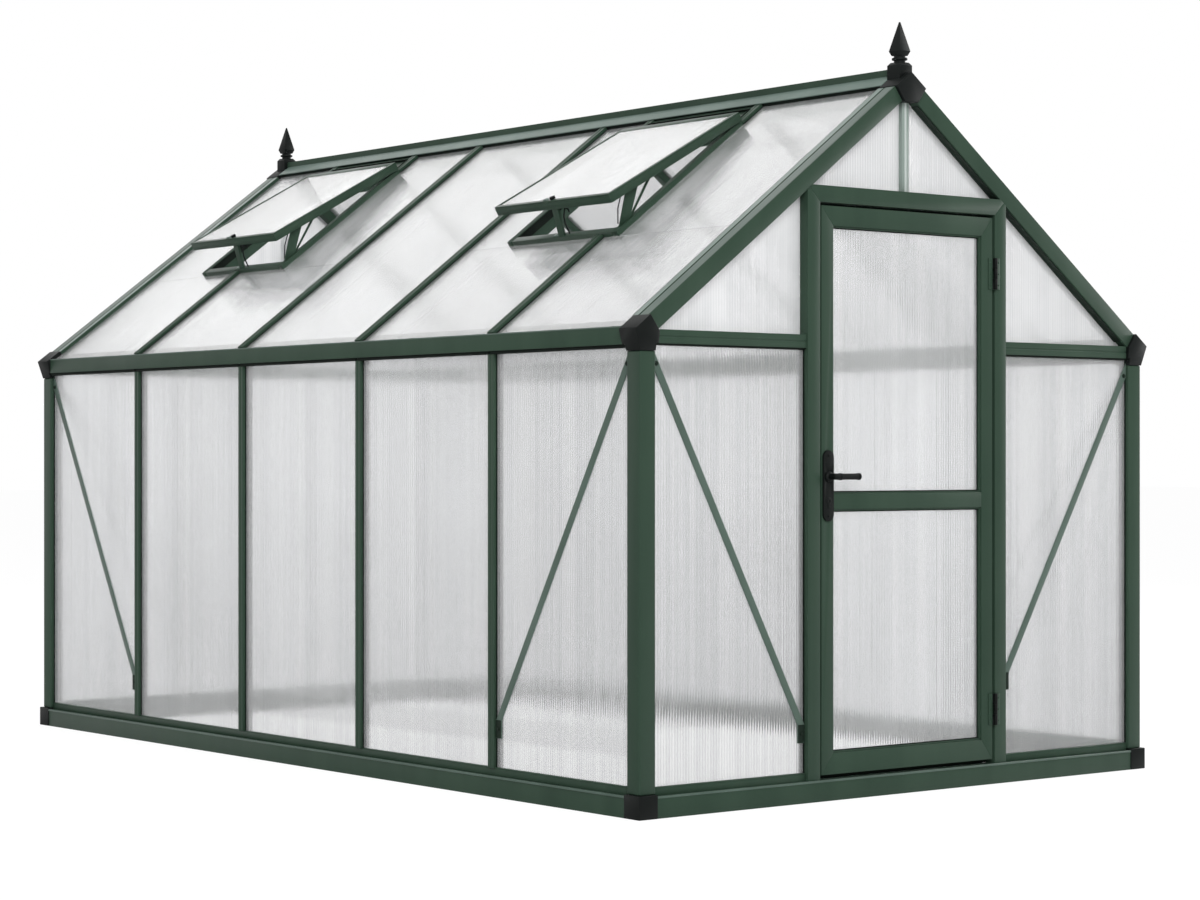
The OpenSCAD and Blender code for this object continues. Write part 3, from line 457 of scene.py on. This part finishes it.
def slope_axes(side, turn=0.0):
    """(down the slope, square to it) for a roof side, turned up by an angle."""
    a = PITCH - turn
    return (Vector((side * math.cos(a), 0, -math.sin(a))),
            Vector((side * math.sin(a), 0, math.cos(a))))


def each_slope():
    """(side, word, down the slope, square to it) for both sides of the roof."""
    return [(side, word, *slope_axes(side)) for side, word in ((-1, "left"), (1, "right"))]


def each_rafter():
    """(out, down the slope, square to it, corners) for each rafter."""
    for side, _, down, up in each_slope():
        for word, out in (("front", -Y), ("back", Y)):
            for points in islands("rafters_" + word):
                if sum(p.x for p in points) * side > 0:
                    yield out, down, up, points


roof_down, roof_up = slope_axes(-1)
vent_down, vent_up = slope_axes(-1, VENT_TURN)

# ---------------------------------------------------------------- twin-wall sheets


def hull(points):
    """The convex outline of (a, b) points, counter-clockwise."""
    points = sorted(set((round(a, 6), round(b, 6)) for a, b in points))

    def half(seq):
        chain = []
        for p in seq:
            while len(chain) > 1 and (
                (chain[-1][0] - chain[-2][0]) * (p[1] - chain[-2][1])
                - (chain[-1][1] - chain[-2][1]) * (p[0] - chain[-2][0])
            ) <= 1e-10:
                chain.pop()
            chain.append(p)
        return chain[:-1]

    return half(points) + half(points[::-1])


def reach(outline, a):
    """Lowest and highest b of a convex outline at a."""
    hits = []
    for i in range(len(outline)):
        (a0, b0), (a1, b1) = outline[i - 1], outline[i]
        if (a0 - a) * (a1 - a) <= 0 and a0 != a1:
            hits.append(b0 + (b1 - b0) * (a - a0) / (a1 - a0))
    return min(hits), max(hits)


def unit(*seed):
    """A repeatable number from 0 to 1 for whole-number seeds."""
    h = sum((k + 1.7) * 12.9898 * (i + 1) for i, k in enumerate(seed))
    return abs(math.sin(h) * 43758.5453) % 1


def lapped(outline, lap):
    """A box outline made larger on each side but its lowest b."""
    a, b = [p[0] for p in outline], [p[1] for p in outline]
    return rectangle(min(a) - lap, min(b), max(a) + lap, max(b) + lap)


def fluted(m, points, across, along, out, seed, lap):
    """A twin-wall sheet where a CAD one is: its face swells between the ribs and sinks over them."""
    outline = hull([(p.dot(across), p.dot(along)) for p in points])
    if lap:
        outline = lapped(outline, lap)
    low, top = span(points, out)
    a0, a1 = min(a for a, b in outline), max(a for a, b in outline)
    flutes = max(2, round((a1 - a0) / RIB_PITCH))
    narrowest, within = 2 * MM, 1e-5
    columns = []
    for k in range(flutes * FLUTE_STEPS + 1):
        a = min(max(a0 + (a1 - a0) * k / (flutes * FLUTE_STEPS), a0 + within), a1 - within)
        b0, b1 = reach(outline, a)
        if b1 - b0 < narrowest:
            continue
        sunk = (2 * (k % FLUTE_STEPS) / FLUTE_STEPS - 1) ** 2
        depth = RELIEF * (0.55 + 0.9 * unit(seed, k // FLUTE_STEPS)) * sunk
        columns.append((a, b0, b1, top - depth, low + depth * 0.4))
    base = len(m.verts)
    for a, b0, b1, outside, inside in columns:
        for b, n in ((b0, outside), (b1, outside), (b1, inside), (b0, inside)):
            m.verts.append(across * a + along * b + out * n)
    for k in range(len(columns) - 1):
        i, j = base + 4 * k, base + 4 * k + 4
        for c in range(4):
            d = (c + 1) % 4
            m.faces.append((i + c, j + c, j + d, i + d))
    m.faces.append(tuple(base + c for c in range(4)))
    m.faces.append(tuple(base + 4 * (len(columns) - 1) + c for c in (3, 2, 1, 0)))


def twin_wall(name, node, body, across, along, out, material, lap=0.0):
    """Replaces a node of flat sheets. Without an out direction each faces the end that it is at."""
    m = Mesh()
    for i, points in enumerate(islands(node)):
        side = out or (Y if sum(p.y for p in points) > 0 else -Y)
        fluted(m, points, across, along, side, i, lap)
    return m.piece(name, body, material, (node,), smooth=60)


twin_wall("twin_wall_left", "sheets_left", "greenhouse", Y, Z, -X, WALL_SHEET)
twin_wall("twin_wall_right", "sheets_right", "greenhouse", Y, Z, X, WALL_SHEET)
twin_wall("twin_wall_back", "sheets_back", "greenhouse", X, Z, Y, WALL_SHEET)
twin_wall("twin_wall_front", "sheets_front", "greenhouse", X, Z, -Y, FRONT_SHEET)
twin_wall("twin_wall_door", "door_panes", "door", X, Z, -Y, WALL_SHEET)
for _, word, down, up in each_slope():
    twin_wall("twin_wall_roof_" + word, "roof_sheets_" + word, "greenhouse", Y, down, up, ROOF_SHEET)
twin_wall("twin_wall_vents", "vent_panes", "greenhouse", Y, vent_down, vent_up, VENT_SHEET, VENT_LAP)
twin_wall("twin_wall_gables", "gable_sheets", "greenhouse", X, Z, None, GABLE_SHEET)

# ---------------------------------------------------------------- base, walls and roof trim


def base_beads(m):
    """A rolled lip along the top edge of each base rail; its lighter green is a painted highlight."""
    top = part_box("base_front")[1].z
    lip = millimetres([(-5, -0.3), (-5, 0.5), (0.8, 0.5), (1.9, -0.6), (1.9, -4.4), (1.2, -5.2),
                       (-1, -5.2)])
    for along, out, half, face in WALLS.values():
        end = half - POST_EDGE
        m.prism(lip, out * face + Z * top - along * end, out, Z, along, 2 * end)


def sill_lips(m):
    """The edge that holds the wall sheets' lower ends."""
    lip = millimetres([(-4.2, -1), (1, -1), (1, 0.6), (-4.2, 2.6)])
    for points in islands("wall_sills"):
        along, out = wall_axes(points)
        (a0, a1), (_, face), (_, top) = spans(points, along, out, Z)
        m.prism(lip, out * face + Z * top + along * a0, out, Z, along, a1 - a0)


def bar_shade_strips(m):
    """Black strips along both edges of each glazing bar's cap: painted shade in the gaps beside the
    bars.
    """
    width, rise = 3.2 * MM, 1.4 * MM
    strip = rectangle(0, 0, width, rise)
    for word, bars in BARS.items():
        along, out, _, face = WALLS[word]
        for points in islands(bars):
            (a0, a1), (z0, z1) = spans(points, along, Z)
            for a in (a0 - width, a1):
                m.prism(strip, out * (face - SHEET_INSET) + along * a + Z * z0, along, out, Z, z1 - z0)
    for _, word, down, up in each_slope():
        for points in islands("roof_bars_" + word):
            (y0, y1), (s0, s1) = span(points, Y), slope_span(points, down)
            for y in (y0 - width, y1):
                m.prism(strip, Z * APEX_Z + down * s0 - up * SHEET_DROP + Y * y, Y, up, down, s1 - s0)


def edge_gaskets_and_shade(m):
    """Rubber where the wall sheets meet the posts and the door's jambs; its black is also painted
    shade in the gaps there.
    """
    width, rise = 4 * MM, 2 * MM
    for word, (along, out, half, face) in WALLS.items():
        places = [-half + POST_EDGE, half - POST_EDGE - width]
        if word == "front":
            places += [-JAMB_X - width, JAMB_X]
        for a in places:
            m.prism(rectangle(0, 0, width, rise),
                    out * (face - SHEET_INSET) + along * a + Z * SHEETS_LOW,
                    along, out, Z, SHEETS_HIGH - SHEETS_LOW)


def inner_seals(m):
    """Black flanges of the seals behind the wall sheets, along bars, posts and jambs."""
    thick, deep, sheet = 1.5 * MM, 19.5 * MM, 4 * MM
    for word, (along, out, half, face) in WALLS.items():
        edges = [-half + POST_EDGE, half - POST_EDGE - thick]
        if word == "front":
            edges += [-JAMB_X - thick, JAMB_X]
        else:
            for points in islands(BARS[word]):
                a0, a1 = span(points, along)
                edges += [a0 - thick, a1]
        for a in edges:
            m.prism(rectangle(0, -0.2 * MM, thick, -deep),
                    out * (face - SHEET_INSET - sheet) + along * a + Z * SHEETS_LOW,
                    along, out, Z, SHEETS_HIGH - SHEETS_LOW)


def eave_shade_strips(m):
    """Black strips under the eave rails, under the gable rails and below the ridge's flanges: painted
    shade in the gaps there.
    """
    side_shade = millimetres([(0, 0), (15, 0), (15, -5), (12, -8), (0, -8)])
    end_shade = millimetres([(0, 0), (8, 0), (8, -3), (0, -5)])
    ridge_shade = millimetres(rectangle(46, -9.9, 53, -0.2))
    for word, outline in (("left", side_shade), ("right", side_shade),
                          ("front", end_shade), ("back", end_shade)):
        along, out, _, face = WALLS[word]
        for points in islands("sheets_" + word):
            (a0, a1), (_, top) = spans(points, along, Z)
            m.prism(outline, out * (face - SHEET_INSET) + Z * top + along * a0,
                    out, Z, along, a1 - a0)
    for _, word, down, up in each_slope():
        for points in islands("roof_sheets_" + word):
            (y0, y1), from_ridge = span(points, Y), slope_span(points, down)[0]
            if from_ridge <= 50 * MM:
                m.prism(ridge_shade, Z * APEX_Z + Y * y0, down, up, Y, y1 - y0)


def gutter_ends(m):
    """Stops in the gutters beside the eave connectors."""
    end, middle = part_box("eave_rail_left")[1].y, HALF_W - 10 * MM
    length, half = 44 * MM, 6.5 * MM
    low, high = EAVE_Z - 14 * MM, EAVE_Z + 1.5 * MM
    for x in (-middle, middle):
        for y in (-end, end - length):
            m.box((x - half, y, low), (x + half, y + length, high))


def rafter_shade_strips(m):
    """Dark strips between the rafters' undersides and the gable sheets' outer faces: painted shade
    under the rafters.
    """
    shade_outline = millimetres([(0, 0), (22, 0), (22, -2), (7, -2), (5, -4), (0, -4)])
    from_ridge, shorter = 12 * MM, 40 * MM
    gables = [p for points in islands("gable_sheets") for p in points]
    for out, down, up, points in each_rafter():
        face = span(gables, out)[1]
        (s0, s1), (n0, _) = slope_span(points, down), slope_span(points, up)
        m.prism(shade_outline, Z * APEX_Z + out * face + down * (s0 + from_ridge) + up * n0,
                out, up, down, s1 - s0 - shorter)


def rafter_strips(m, from_seam, to_edge):
    """A raised strip down each rafter's top, between two distances from its outer face; its lighter
    greens are a painted highlight of the sky.
    """
    face = -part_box("rafters_front")[0].y
    strip = rectangle(from_seam, -0.2 * MM, to_edge, 0.3 * MM)
    for out, down, up, points in each_rafter():
        s0, s1 = slope_span(points, down)
        m.prism(strip, Z * APEX_Z + out * face + down * s0, -out, up, down, s1 - s0)


def door_sill_seal_and_shade(m):
    """An upright brush seal on the base behind the gap below the door; its black also paints the shade
    in that gap.
    """
    stops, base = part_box("door_stops"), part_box("base_front")
    step = stops[0].y - base[1].y
    back, rise, edge = step + 3 * MM, 12 * MM, 1 * MM
    half = stops[1].x - 9.1 * MM
    m.prism([(0, -rise), (back, -rise), (back, rise), (step, rise), (step, -edge), (0, -edge)],
            Y * base[1].y + Z * base[1].z - X * half, Y, Z, X, 2 * half)


def crest_cap(m):
    """A strip folded over the ridge's crest."""
    low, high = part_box("ridge_bar")
    half, top, foot = 10 * MM, high.z, high.z - 16.5 * MM
    skin, edge, sunk = 0.9 * MM, 1 * MM, 0.1 * MM
    inner = half - sunk
    m.prism([(-half - skin, foot), (-half - skin, top + skin - edge), (-half, top + skin),
             (half, top + skin), (half + skin, top + skin - edge), (half + skin, foot),
             (inner, foot), (inner, top - sunk), (-inner, top - sunk), (-inner, foot)],
            Y * low.y, X, Z, Y, high.y - low.y)


def eave_lips(m):
    """A roll along the top of each gutter's outer lip; its lighter green is a painted highlight."""
    low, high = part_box("eave_rail_right")
    roll = millimetres([(-3.2, -2.6), (0.2, -2.6), (0.8, -2.0), (0.8, 0.2), (0.2, 0.8), (-2.6, 0.8),
                        (-3.2, 0.2)])
    for out in (-X, X):
        m.prism(roll, out * high.x + Z * EAVE_Z + Y * low.y, out, Z, Y, high.y - low.y)


def mullion_beads(m):
    """A bead down the middle of each gable's upright; its pale colour is a painted highlight."""
    bead = millimetres([(-3.5, -0.2), (3.5, -0.2), (3.5, 0.6), (2.6, 1.2), (-2.6, 1.2), (-3.5, 0.6)])
    for points in islands("gable_mullions"):
        (y0, y1), (z0, z1) = spans(points, Y, Z)
        out, face = (-Y, y0) if y0 < 0 else (Y, y1)
        m.prism(bead, Y * face + Z * z0, X, out, Z, z1 - z0)


trim("base_beads", SOFT_LIT_GREEN, base_beads, bevel=0.3 * MM)
trim("ridge_crest_cap", GREEN, crest_cap)
trim("eave_lips", SOFT_LIT_GREEN, eave_lips)
trim("mullion_beads", BEAD_HIGHLIGHT, mullion_beads)
trim("rafter_shade_strips", DARK_GREEN, rafter_shade_strips)
trim("door_sill_seal_and_shade", RUBBER_AND_SHADE, door_sill_seal_and_shade)
trim("rafter_inner_strips", SKY_LIT_GREEN, lambda m: rafter_strips(m, 43 * MM, 61 * MM))
trim("rafter_outer_strips", SOFT_LIT_GREEN, lambda m: rafter_strips(m, 4 * MM, 36 * MM))
trim("sill_lips", GREEN, sill_lips, bevel=0.3 * MM)
trim("bar_shade_strips", RUBBER_AND_SHADE, bar_shade_strips)
trim("edge_gaskets_and_shade", RUBBER_AND_SHADE, edge_gaskets_and_shade)
trim("eave_shade_strips", RUBBER_AND_SHADE, eave_shade_strips)
trim("inner_seals", RUBBER_AND_SHADE, inner_seals)
trim("gutter_ends", BLACK, gutter_ends, bevel=0.6 * MM)

# Turned profiles: (radius, height) in millimetres.
SCREW = [(3.6, 0), (3.6, 0.7), (2.9, 1.7), (1.5, 2.2), (1.4, 1.3)]
BOLT = [(6.5, 0), (6.5, 0.8), (4.6, 0.9), (4.6, 3.4), (3.9, 4.2)]
CYLINDER = [(9.5, 0), (9.5, 0.6), (8.6, 1.2), (7.0, 1.3), (6.4, 2.0), (2.2, 2.0), (2.0, 1.2)]
COLLAR = [(13, 5.4), (13, 8.2), (11.4, 10.2), (9.4, 11.6), (8.6, 12.4)]
GRIP_RING = [(8.6, 0), (9.6, 0.8), (9.6, 4.2), (8.6, 5)]
GRIP_END = [(8.5, 0), (9.2, 0.8), (9.2, 5.2), (8.2, 6.4), (5, 7.4)]


def brace_bolts(m):
    """A thin plate on each brace's foot, and a bolt at both ends, square to the wall."""
    plate_half, plate_rim, plate_thick = 11 * MM, 1 * MM, 0.6 * MM
    from_foot, from_top, drop, near = 12 * MM, 10 * MM, 16 * MM, 1 * MM
    for points in islands("braces"):
        along, out = wall_axes(points)
        face = span(points, out)[1]
        top, foot = max(points, key=lambda p: p.z), min(points, key=lambda p: p.z)
        inward = 1 if foot.dot(along) > top.dot(along) else -1
        top_end = [p.z for p in points if abs((p - top).dot(along)) < near]
        far = span(points, along)[1 if inward > 0 else 0]
        foot_end = [p.z for p in points if abs(p.dot(along) - far) < near]
        low, high = min(foot_end), max(foot_end)
        foot_a = far - inward * from_foot
        m.prism(rectangle(-plate_half, low + plate_rim, plate_half, high - plate_rim),
                along * foot_a + out * face, along, Z, out, plate_thick)
        top_a = top.dot(along) + inward * from_top
        top_z = sum(top_end) / len(top_end) - drop
        for a, z in ((top_a, top_z), (foot_a, (low + high) / 2)):
            m.turned(millimetres(BOLT), along * a + Z * z + out * face, out, 6)


trim("brace_bolts", DARK_GREEN, brace_bolts)

# ---------------------------------------------------------------- door

leaf_low, leaf_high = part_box("door_stiles")
rails_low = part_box("door_rails")[0]
bottom_rail, middle_rail, top_rail = sorted(span(points, Z) for points in islands("door_rails"))
lever_low, lever_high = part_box("handle_lever")
LEVER_R, HOLE_R = 8 * MM, 9 * MM
spindle_x = lever_low.x + LEVER_R
spindle_z = (lever_low.z + lever_high.z) / 2


def leaf_frame(m):
    """The door's own frame: mitred stiles and rails, the handle's stile drilled for its shaft."""
    depth, place, gap = leaf_high.y - leaf_low.y, Y * leaf_low.y, 0.15 * MM
    outer, inner = leaf_low.x, rails_low.x
    low, high = leaf_low.z, leaf_high.z
    inner_low, inner_high = bottom_rail[1], top_rail[0]
    stile = [(outer, low + gap), (inner, inner_low + gap), (inner, inner_high - gap),
             (outer, high - gap)]
    hole = [(spindle_x + HOLE_R * cos, spindle_z + HOLE_R * sin) for cos, sin in circle(32)]
    m.plate(stile, hole, place, X, Z, Y, depth)
    m.prism([(-a, b) for a, b in stile], place, X, Z, Y, depth)
    for outside, inside in ((high, inner_high), (low, inner_low)):
        m.prism([(outer + gap, outside), (-outer - gap, outside), (-inner - gap, inside),
                 (inner + gap, inside)], place, X, Z, Y, depth)
    m.prism(rectangle(inner + gap, middle_rail[0], -inner - gap, middle_rail[1]),
            place, X, Z, Y, depth)


def pane_rims(m, width, front, back):
    """Strips round both sides of each door pane; front and back are how far they reach from it."""
    for points in islands("door_panes"):
        (x0, x1), (y0, y1), (z0, z1) = spans(points, X, Y, Z)
        outer = (x0, z0, x1, z1)
        m.mitred(outer, inset(outer, width), Y * y0, X, Z, -Y, front)
        m.mitred(outer, inset(outer, width), Y * y1, X, Z, Y, back)


def door_seals_and_shade(m):
    """Brush seals on the stops, behind the door's edges at both sides and its top; their black also
    paints the shade in the gaps round the door.
    """
    low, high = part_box("door_stops")
    width, depth, front = 8 * MM, 1.2 * MM, Y * low.y
    for side in (-1, 1):
        m.prism(rectangle(0, 0, side * width, high.z - low.z - width),
                X * (side * high.x - side * width) + Z * low.z + front, X, Z, -Y, depth)
    m.prism(rectangle(low.x, high.z - width, high.x, high.z), front, X, Z, -Y, depth)


trim("door_leaf_frame", GREEN, leaf_frame, "door", ("door_stiles", "door_rails"),
     bevel=0.6 * MM)
trim("door_pane_beads", GREEN,
     lambda m: pane_rims(m, 4 * MM, 7 * MM, 0.9 * MM), "door")
trim("door_pane_gaskets", RUBBER_AND_SHADE,
     lambda m: pane_rims(m, 6.5 * MM, 1.2 * MM, 1.2 * MM), "door")
trim("door_inner_seals", RUBBER_AND_SHADE,
     lambda m: pane_rims(m, 2 * MM, 0.8 * MM, 11 * MM), "door")
trim("door_seals_and_shade", RUBBER_AND_SHADE, door_seals_and_shade)


def handle_faces():
    """(place of the face's middle line at z 0, out, lowest z, highest z) for each handle plate."""
    for points in islands("handle_plates"):
        (x0, x1), (y0, y1), (z0, z1) = spans(points, X, Y, Z)
        out, face = (-Y, y0) if y0 < leaf_low.y else (Y, y1)
        yield X * (x0 + x1) / 2 + Y * face, out, z0, z1


def handle_screws(m):
    """A screw near each end of the handle plates."""
    from_end = 13 * MM
    for place, out, z0, z1 in handle_faces():
        for z in (z0 + from_end, z1 - from_end):
            m.turned(millimetres(SCREW), place + Z * z, out, 16)


def key_cylinders(m):
    """A flanged lock cylinder below each lever."""
    tail = millimetres([(-4.2, 0), (4.2, 0), (4.0, -17), (0, -20), (-4.0, -17)])
    tail_thick, from_end = 1.2 * MM, 52 * MM
    for middle, out, z0, _ in handle_faces():
        place = middle + Z * (z0 + from_end)
        m.turned(millimetres(CYLINDER), place, out, 24)
        m.prism(tail, place, X, Z, out, tail_thick)


def lever_collars(m):
    """The rosette where each lever leaves its plate, and the rings at both ends of its grip."""
    lever_reach = (lever_high.y - lever_low.y - (leaf_high.y - leaf_low.y)) / 2
    for out, face in ((-Y, leaf_low.y), (Y, leaf_high.y)):
        place = X * spindle_x + Z * spindle_z + Y * face
        grip = place + out * (lever_reach - LEVER_R)
        m.turned(millimetres(COLLAR), place, out, 32)
        for profile, along in ((GRIP_RING, 12), (GRIP_END, 76)):
            m.turned(millimetres(profile), grip + X * along * MM, X, 32)


trim("handle_screws", BLACK, handle_screws, "door")
trim("key_cylinders", BLACK, key_cylinders, "door", bevel=0.3 * MM)
trim("lever_collars", BLACK, lever_collars, "handle", bevel=0.3 * MM)


def hinge_screws(m, node, sideways):
    """Three screws on each leaf of the hinges; sideways is 1 or -1, from the pins to the leaf."""
    head, from_edge = millimetres([(r * 0.75, h * 0.6) for r, h in SCREW]), 6 * MM
    for points in islands(node):
        (x0, x1), (z0, z1) = spans(points, X, Z)
        edge = x1 if sideways > 0 else x0
        face = min(p.y for p in points if abs(p.x - edge) < 0.1 * MM)
        place = X * (edge - sideways * from_edge) + Y * face
        for share in (0.14, 0.5, 0.86):
            m.turned(head, place + Z * (z0 + (z1 - z0) * share), -Y, 12)


DOOR_LEAVES, JAMB_LEAVES = "hinge_door_leaves", "hinge_jamb_leaves"
axis_x = (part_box(DOOR_LEAVES)[1].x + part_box(JAMB_LEAVES)[0].x) / 2
HINGE_COAT = coat("hinge_coat", *GREEN_TONES, 0.42, specular=0.12,
                  band=(axis_x, 5.6 * MM, rgb(12, 15, 14)))
trim("hinge_screws_jamb", GREEN, lambda m: hinge_screws(m, JAMB_LEAVES, 1))
trim("hinge_screws_door", GREEN, lambda m: hinge_screws(m, DOOR_LEAVES, -1), "door")

# ---------------------------------------------------------------- roof vents

SASH_FACE = 24 * MM
LIP, TOP_LIP, LIP_RISE = 12 * MM, 24 * MM, 5.4 * MM


def by_vent(node):
    """The corners of a node's solids, gathered into the front vent's and the rear vent's."""
    front, rear = [], []
    for points in islands(node):
        (front if sum(p.y for p in points) < 0 else rear).extend(points)
    return front, rear


def sash_frames(m):
    """Mitred sashes: a low inner part under the pane's edge and a thin lip round it."""
    for points in by_vent("vent_sashes"):
        (a0, a1), (y0, y1), (n0, n1) = spans(points, vent_down, Y, vent_up)
        step = n1 - n0 - LIP_RISE
        outer = (a0, y0, a1, y1)
        lip = (a0 + TOP_LIP, y0 + LIP, a1 - LIP, y1 - LIP)
        m.mitred(outer, inset(outer, SASH_FACE), vent_up * n0, vent_down, Y, vent_up, step)
        m.mitred(outer, lip, vent_up * (n0 + step), vent_down, Y, vent_up, LIP_RISE)


def vent_seals_and_shade(m):
    """Rubber seals inside each curb; their black also paints the shade down the curbs' inner faces."""
    curb, height, thick, drop = 22 * MM, 22 * MM, 2 * MM, 24 * MM
    for points in by_vent("vent_curbs"):
        (s0, s1), (y0, y1), (_, n1) = spans(points, roof_down, Y, roof_up)
        outer = inset((s0, y0, s1, y1), curb)
        m.mitred(outer, inset(outer, thick), roof_up * (n1 - drop), roof_down, Y, roof_up, height)


def vent_catches(m):
    """Small metal catches on the middle of each sash's and each curb's lower bar."""
    sash_catch = millimetres([(-9, 0), (9, 0), (7, 3), (2, 4.5), (-7, 3)])
    curb_catch = millimetres([(-12, 0), (12, 0), (10, 3), (-4, 4), (-10, 2)])
    for node, down, up, outline, aside, back, depth in (
            ("vent_sashes", vent_down, vent_up, sash_catch, 26 * MM, 14 * MM, 10 * MM),
            ("vent_curbs", roof_down, roof_up, curb_catch, 22 * MM, 13 * MM, 9 * MM)):
        for points in by_vent(node):
            (_, s1), (y0, y1), (_, n1) = spans(points, down, Y, up)
            m.prism(outline, down * (s1 - back) + up * n1 + Y * ((y0 + y1) / 2 + aside),
                    Y, up, down, depth)


def leaning(foot, steps):
    """Points from a foot on the roof: each up the slope, off it and aside, in millimetres."""
    return [foot - roof_down * s * MM + roof_up * n * MM + Y * y * MM for s, n, y in steps]


def vent_hooks(m):
    """A hooked rod beside each middle stay and a thin one inside the corner stay."""
    shank = [(0, 0, 0), (2, 14, 0), (6, 30, 3), (12, 46, 3), (20, 58, 0), (26, 66, -2)]
    tip = [(26, 66, -2), (30, 60, -6), (28, 50, -8)]
    for points in by_vent("vent_curbs"):
        (_, s1), (y0, y1), (_, n1) = spans(points, roof_down, Y, roof_up)
        foot = roof_down * (s1 - 14 * MM) + roof_up * n1 + Y * ((y0 + y1) / 2 - 26 * MM)
        m.rod(leaning(foot, shank), 2.2 * MM)
        m.rod(leaning(foot, tip), 2.2 * MM)
        corner = roof_down * (s1 - 40 * MM) + roof_up * n1 + Y * (y0 + 34 * MM)
        m.rod(leaning(corner, [(0, 0, 0), (30, 30, 8), (66, 52, 14)]), 1.6 * MM)


trim("vent_sash_frames", GREEN, sash_frames, replaces=("vent_sashes",),
     bevel=0.7 * MM)
trim("vent_seals_and_shade", RUBBER_AND_SHADE, vent_seals_and_shade)
trim("vent_catches", SKY_LIT_GREEN, vent_catches, bevel=0.4 * MM)
trim("vent_hooks", BLACK, vent_hooks)

# ---------------------------------------------------------------- CAD nodes that stay

finish_of = {"green_metal": GREEN, "black_plastic": BLACK, "black_hardware": BLACK,
             "twin_wall_sheet": WALL_SHEET}
# The ridge, the gable uprights and the braces take lighter copies of the green coat: painted
# highlight. The hinges keep their own coat.
coat_or_painted_light = {"ridge_bar": SKY_LIT_GREEN, "gable_mullions": PALE_LIT_GREEN, "braces": SOFT_LIT_GREEN,
            DOOR_LEAVES: HINGE_COAT, JAMB_LEAVES: HINGE_COAT}
# Widths of softened edges and distances of welded corners, in millimetres. The eave connectors
# have edges that are too short for their softening, so their corners are welded from farther off.
EDGE, WELD = 0.7, 0.01
own_edge = {"corner_posts": 3.5, "base_corners": 1.4, "eave_connectors": 1.8,
            "ridge_connectors": 1.8, "finials": 1.2, "handle_plates": 3.2}
own_weld = {"eave_connectors": 0.5}
slot_of = {part["node"]: part["material_slot"] for part in frame["record"]["subparts"]}

for name, ob in nodes.items():
    ob.data.materials.clear()
    ob.data.materials.append(coat_or_painted_light.get(name) or finish_of[slot_of[name]])
    ob.data.polygons.foreach_set("use_smooth", [True] * len(ob.data.polygons))
    ob.data.set_sharp_from_angle(angle=math.radians(30))
    weld = ob.modifiers.new("weld", "WELD")
    weld.merge_threshold = own_weld.get(name, WELD) * MM
    edge = ob.modifiers.new("edge", "BEVEL")
    edge.width = own_edge.get(name, EDGE) * MM
    edge.segments = 2
    edge.limit_method = "ANGLE"
    edge.angle_limit = math.radians(35)
    edge.harden_normals = True

# ---------------------------------------------------------------- stage

FLOOR_HALF = 60
floor_data = bpy.data.meshes.new("floor")
corners = rectangle(-FLOOR_HALF, -FLOOR_HALF, FLOOR_HALF, FLOOR_HALF)
floor_data.from_pydata([(x, y, 0) for x, y in corners], [], [(0, 1, 2, 3)])
floor = bpy.data.objects.new("floor", floor_data)
bpy.context.scene.collection.objects.link(floor)


def floor_paper():
    """A pale floor that keeps its shadow, and is near white where the camera or gloss sees it."""
    t = Tree(bpy.data.materials.new("floor_paper"))
    path = t.node("ShaderNodeLightPath").outputs
    seen = t.math("MAXIMUM", path["Is Camera Ray"], path["Is Glossy Ray"])
    plain = t.node("ShaderNodeBsdfDiffuse", {"Color": (0.86, 0.86, 0.87, 1)}).outputs[0]
    white = t.node("ShaderNodeEmission", {"Color": (1, 1, 1, 1), "Strength": 1.1}).outputs[0]
    # Seen through the sheets the floor is less white: painted shade on the ground inside the
    # greenhouse.
    share = t.math("MAXIMUM", t.math("MULTIPLY", seen, 0.8),
                   t.math("MULTIPLY", path["Is Transmission Ray"], 0.55))
    return t.out(t.blend(share, plain, white))


def studio():
    """A soft pale world that is white where it is seen, in gloss and through sheets too."""
    t = Tree(bpy.data.worlds.new("studio"))
    path = t.node("ShaderNodeLightPath").outputs
    seen = t.math("MAXIMUM", path["Is Camera Ray"], path["Is Glossy Ray"])
    seen = t.math("MAXIMUM", seen, path["Is Transmission Ray"])
    sky = t.node("ShaderNodeBackground", {
        "Color": (1, 1, 1, 1), "Strength": t.ranged(seen, 0, 1, 0.6, 1.0)}).outputs[0]
    return t.out(sky, "ShaderNodeOutputWorld")


def lamp(name, place, target, size, energy):
    """A square area lamp that faces a target."""
    data = bpy.data.lights.new(name, "AREA")
    data.shape = "SQUARE"
    data.size = size
    data.energy = energy
    ob = bpy.data.objects.new(name, data)
    ob.location = place
    ob.rotation_euler = (Vector(target) - Vector(place)).to_track_quat("-Z", "Y").to_euler()
    bpy.context.scene.collection.objects.link(ob)


floor_data.materials.append(floor_paper())
bpy.context.scene.world = studio()
lamp("key", place=(-7, -13, 9), target=(0, 0, 1), size=7.0, energy=1250)
lamp("fill", place=(8, -1, 4), target=(0, 0, 1), size=5.0, energy=380)
lamp("rim", place=(2.5, 7, 6.5), target=(0, 0, 1.4), size=5.0, energy=90)
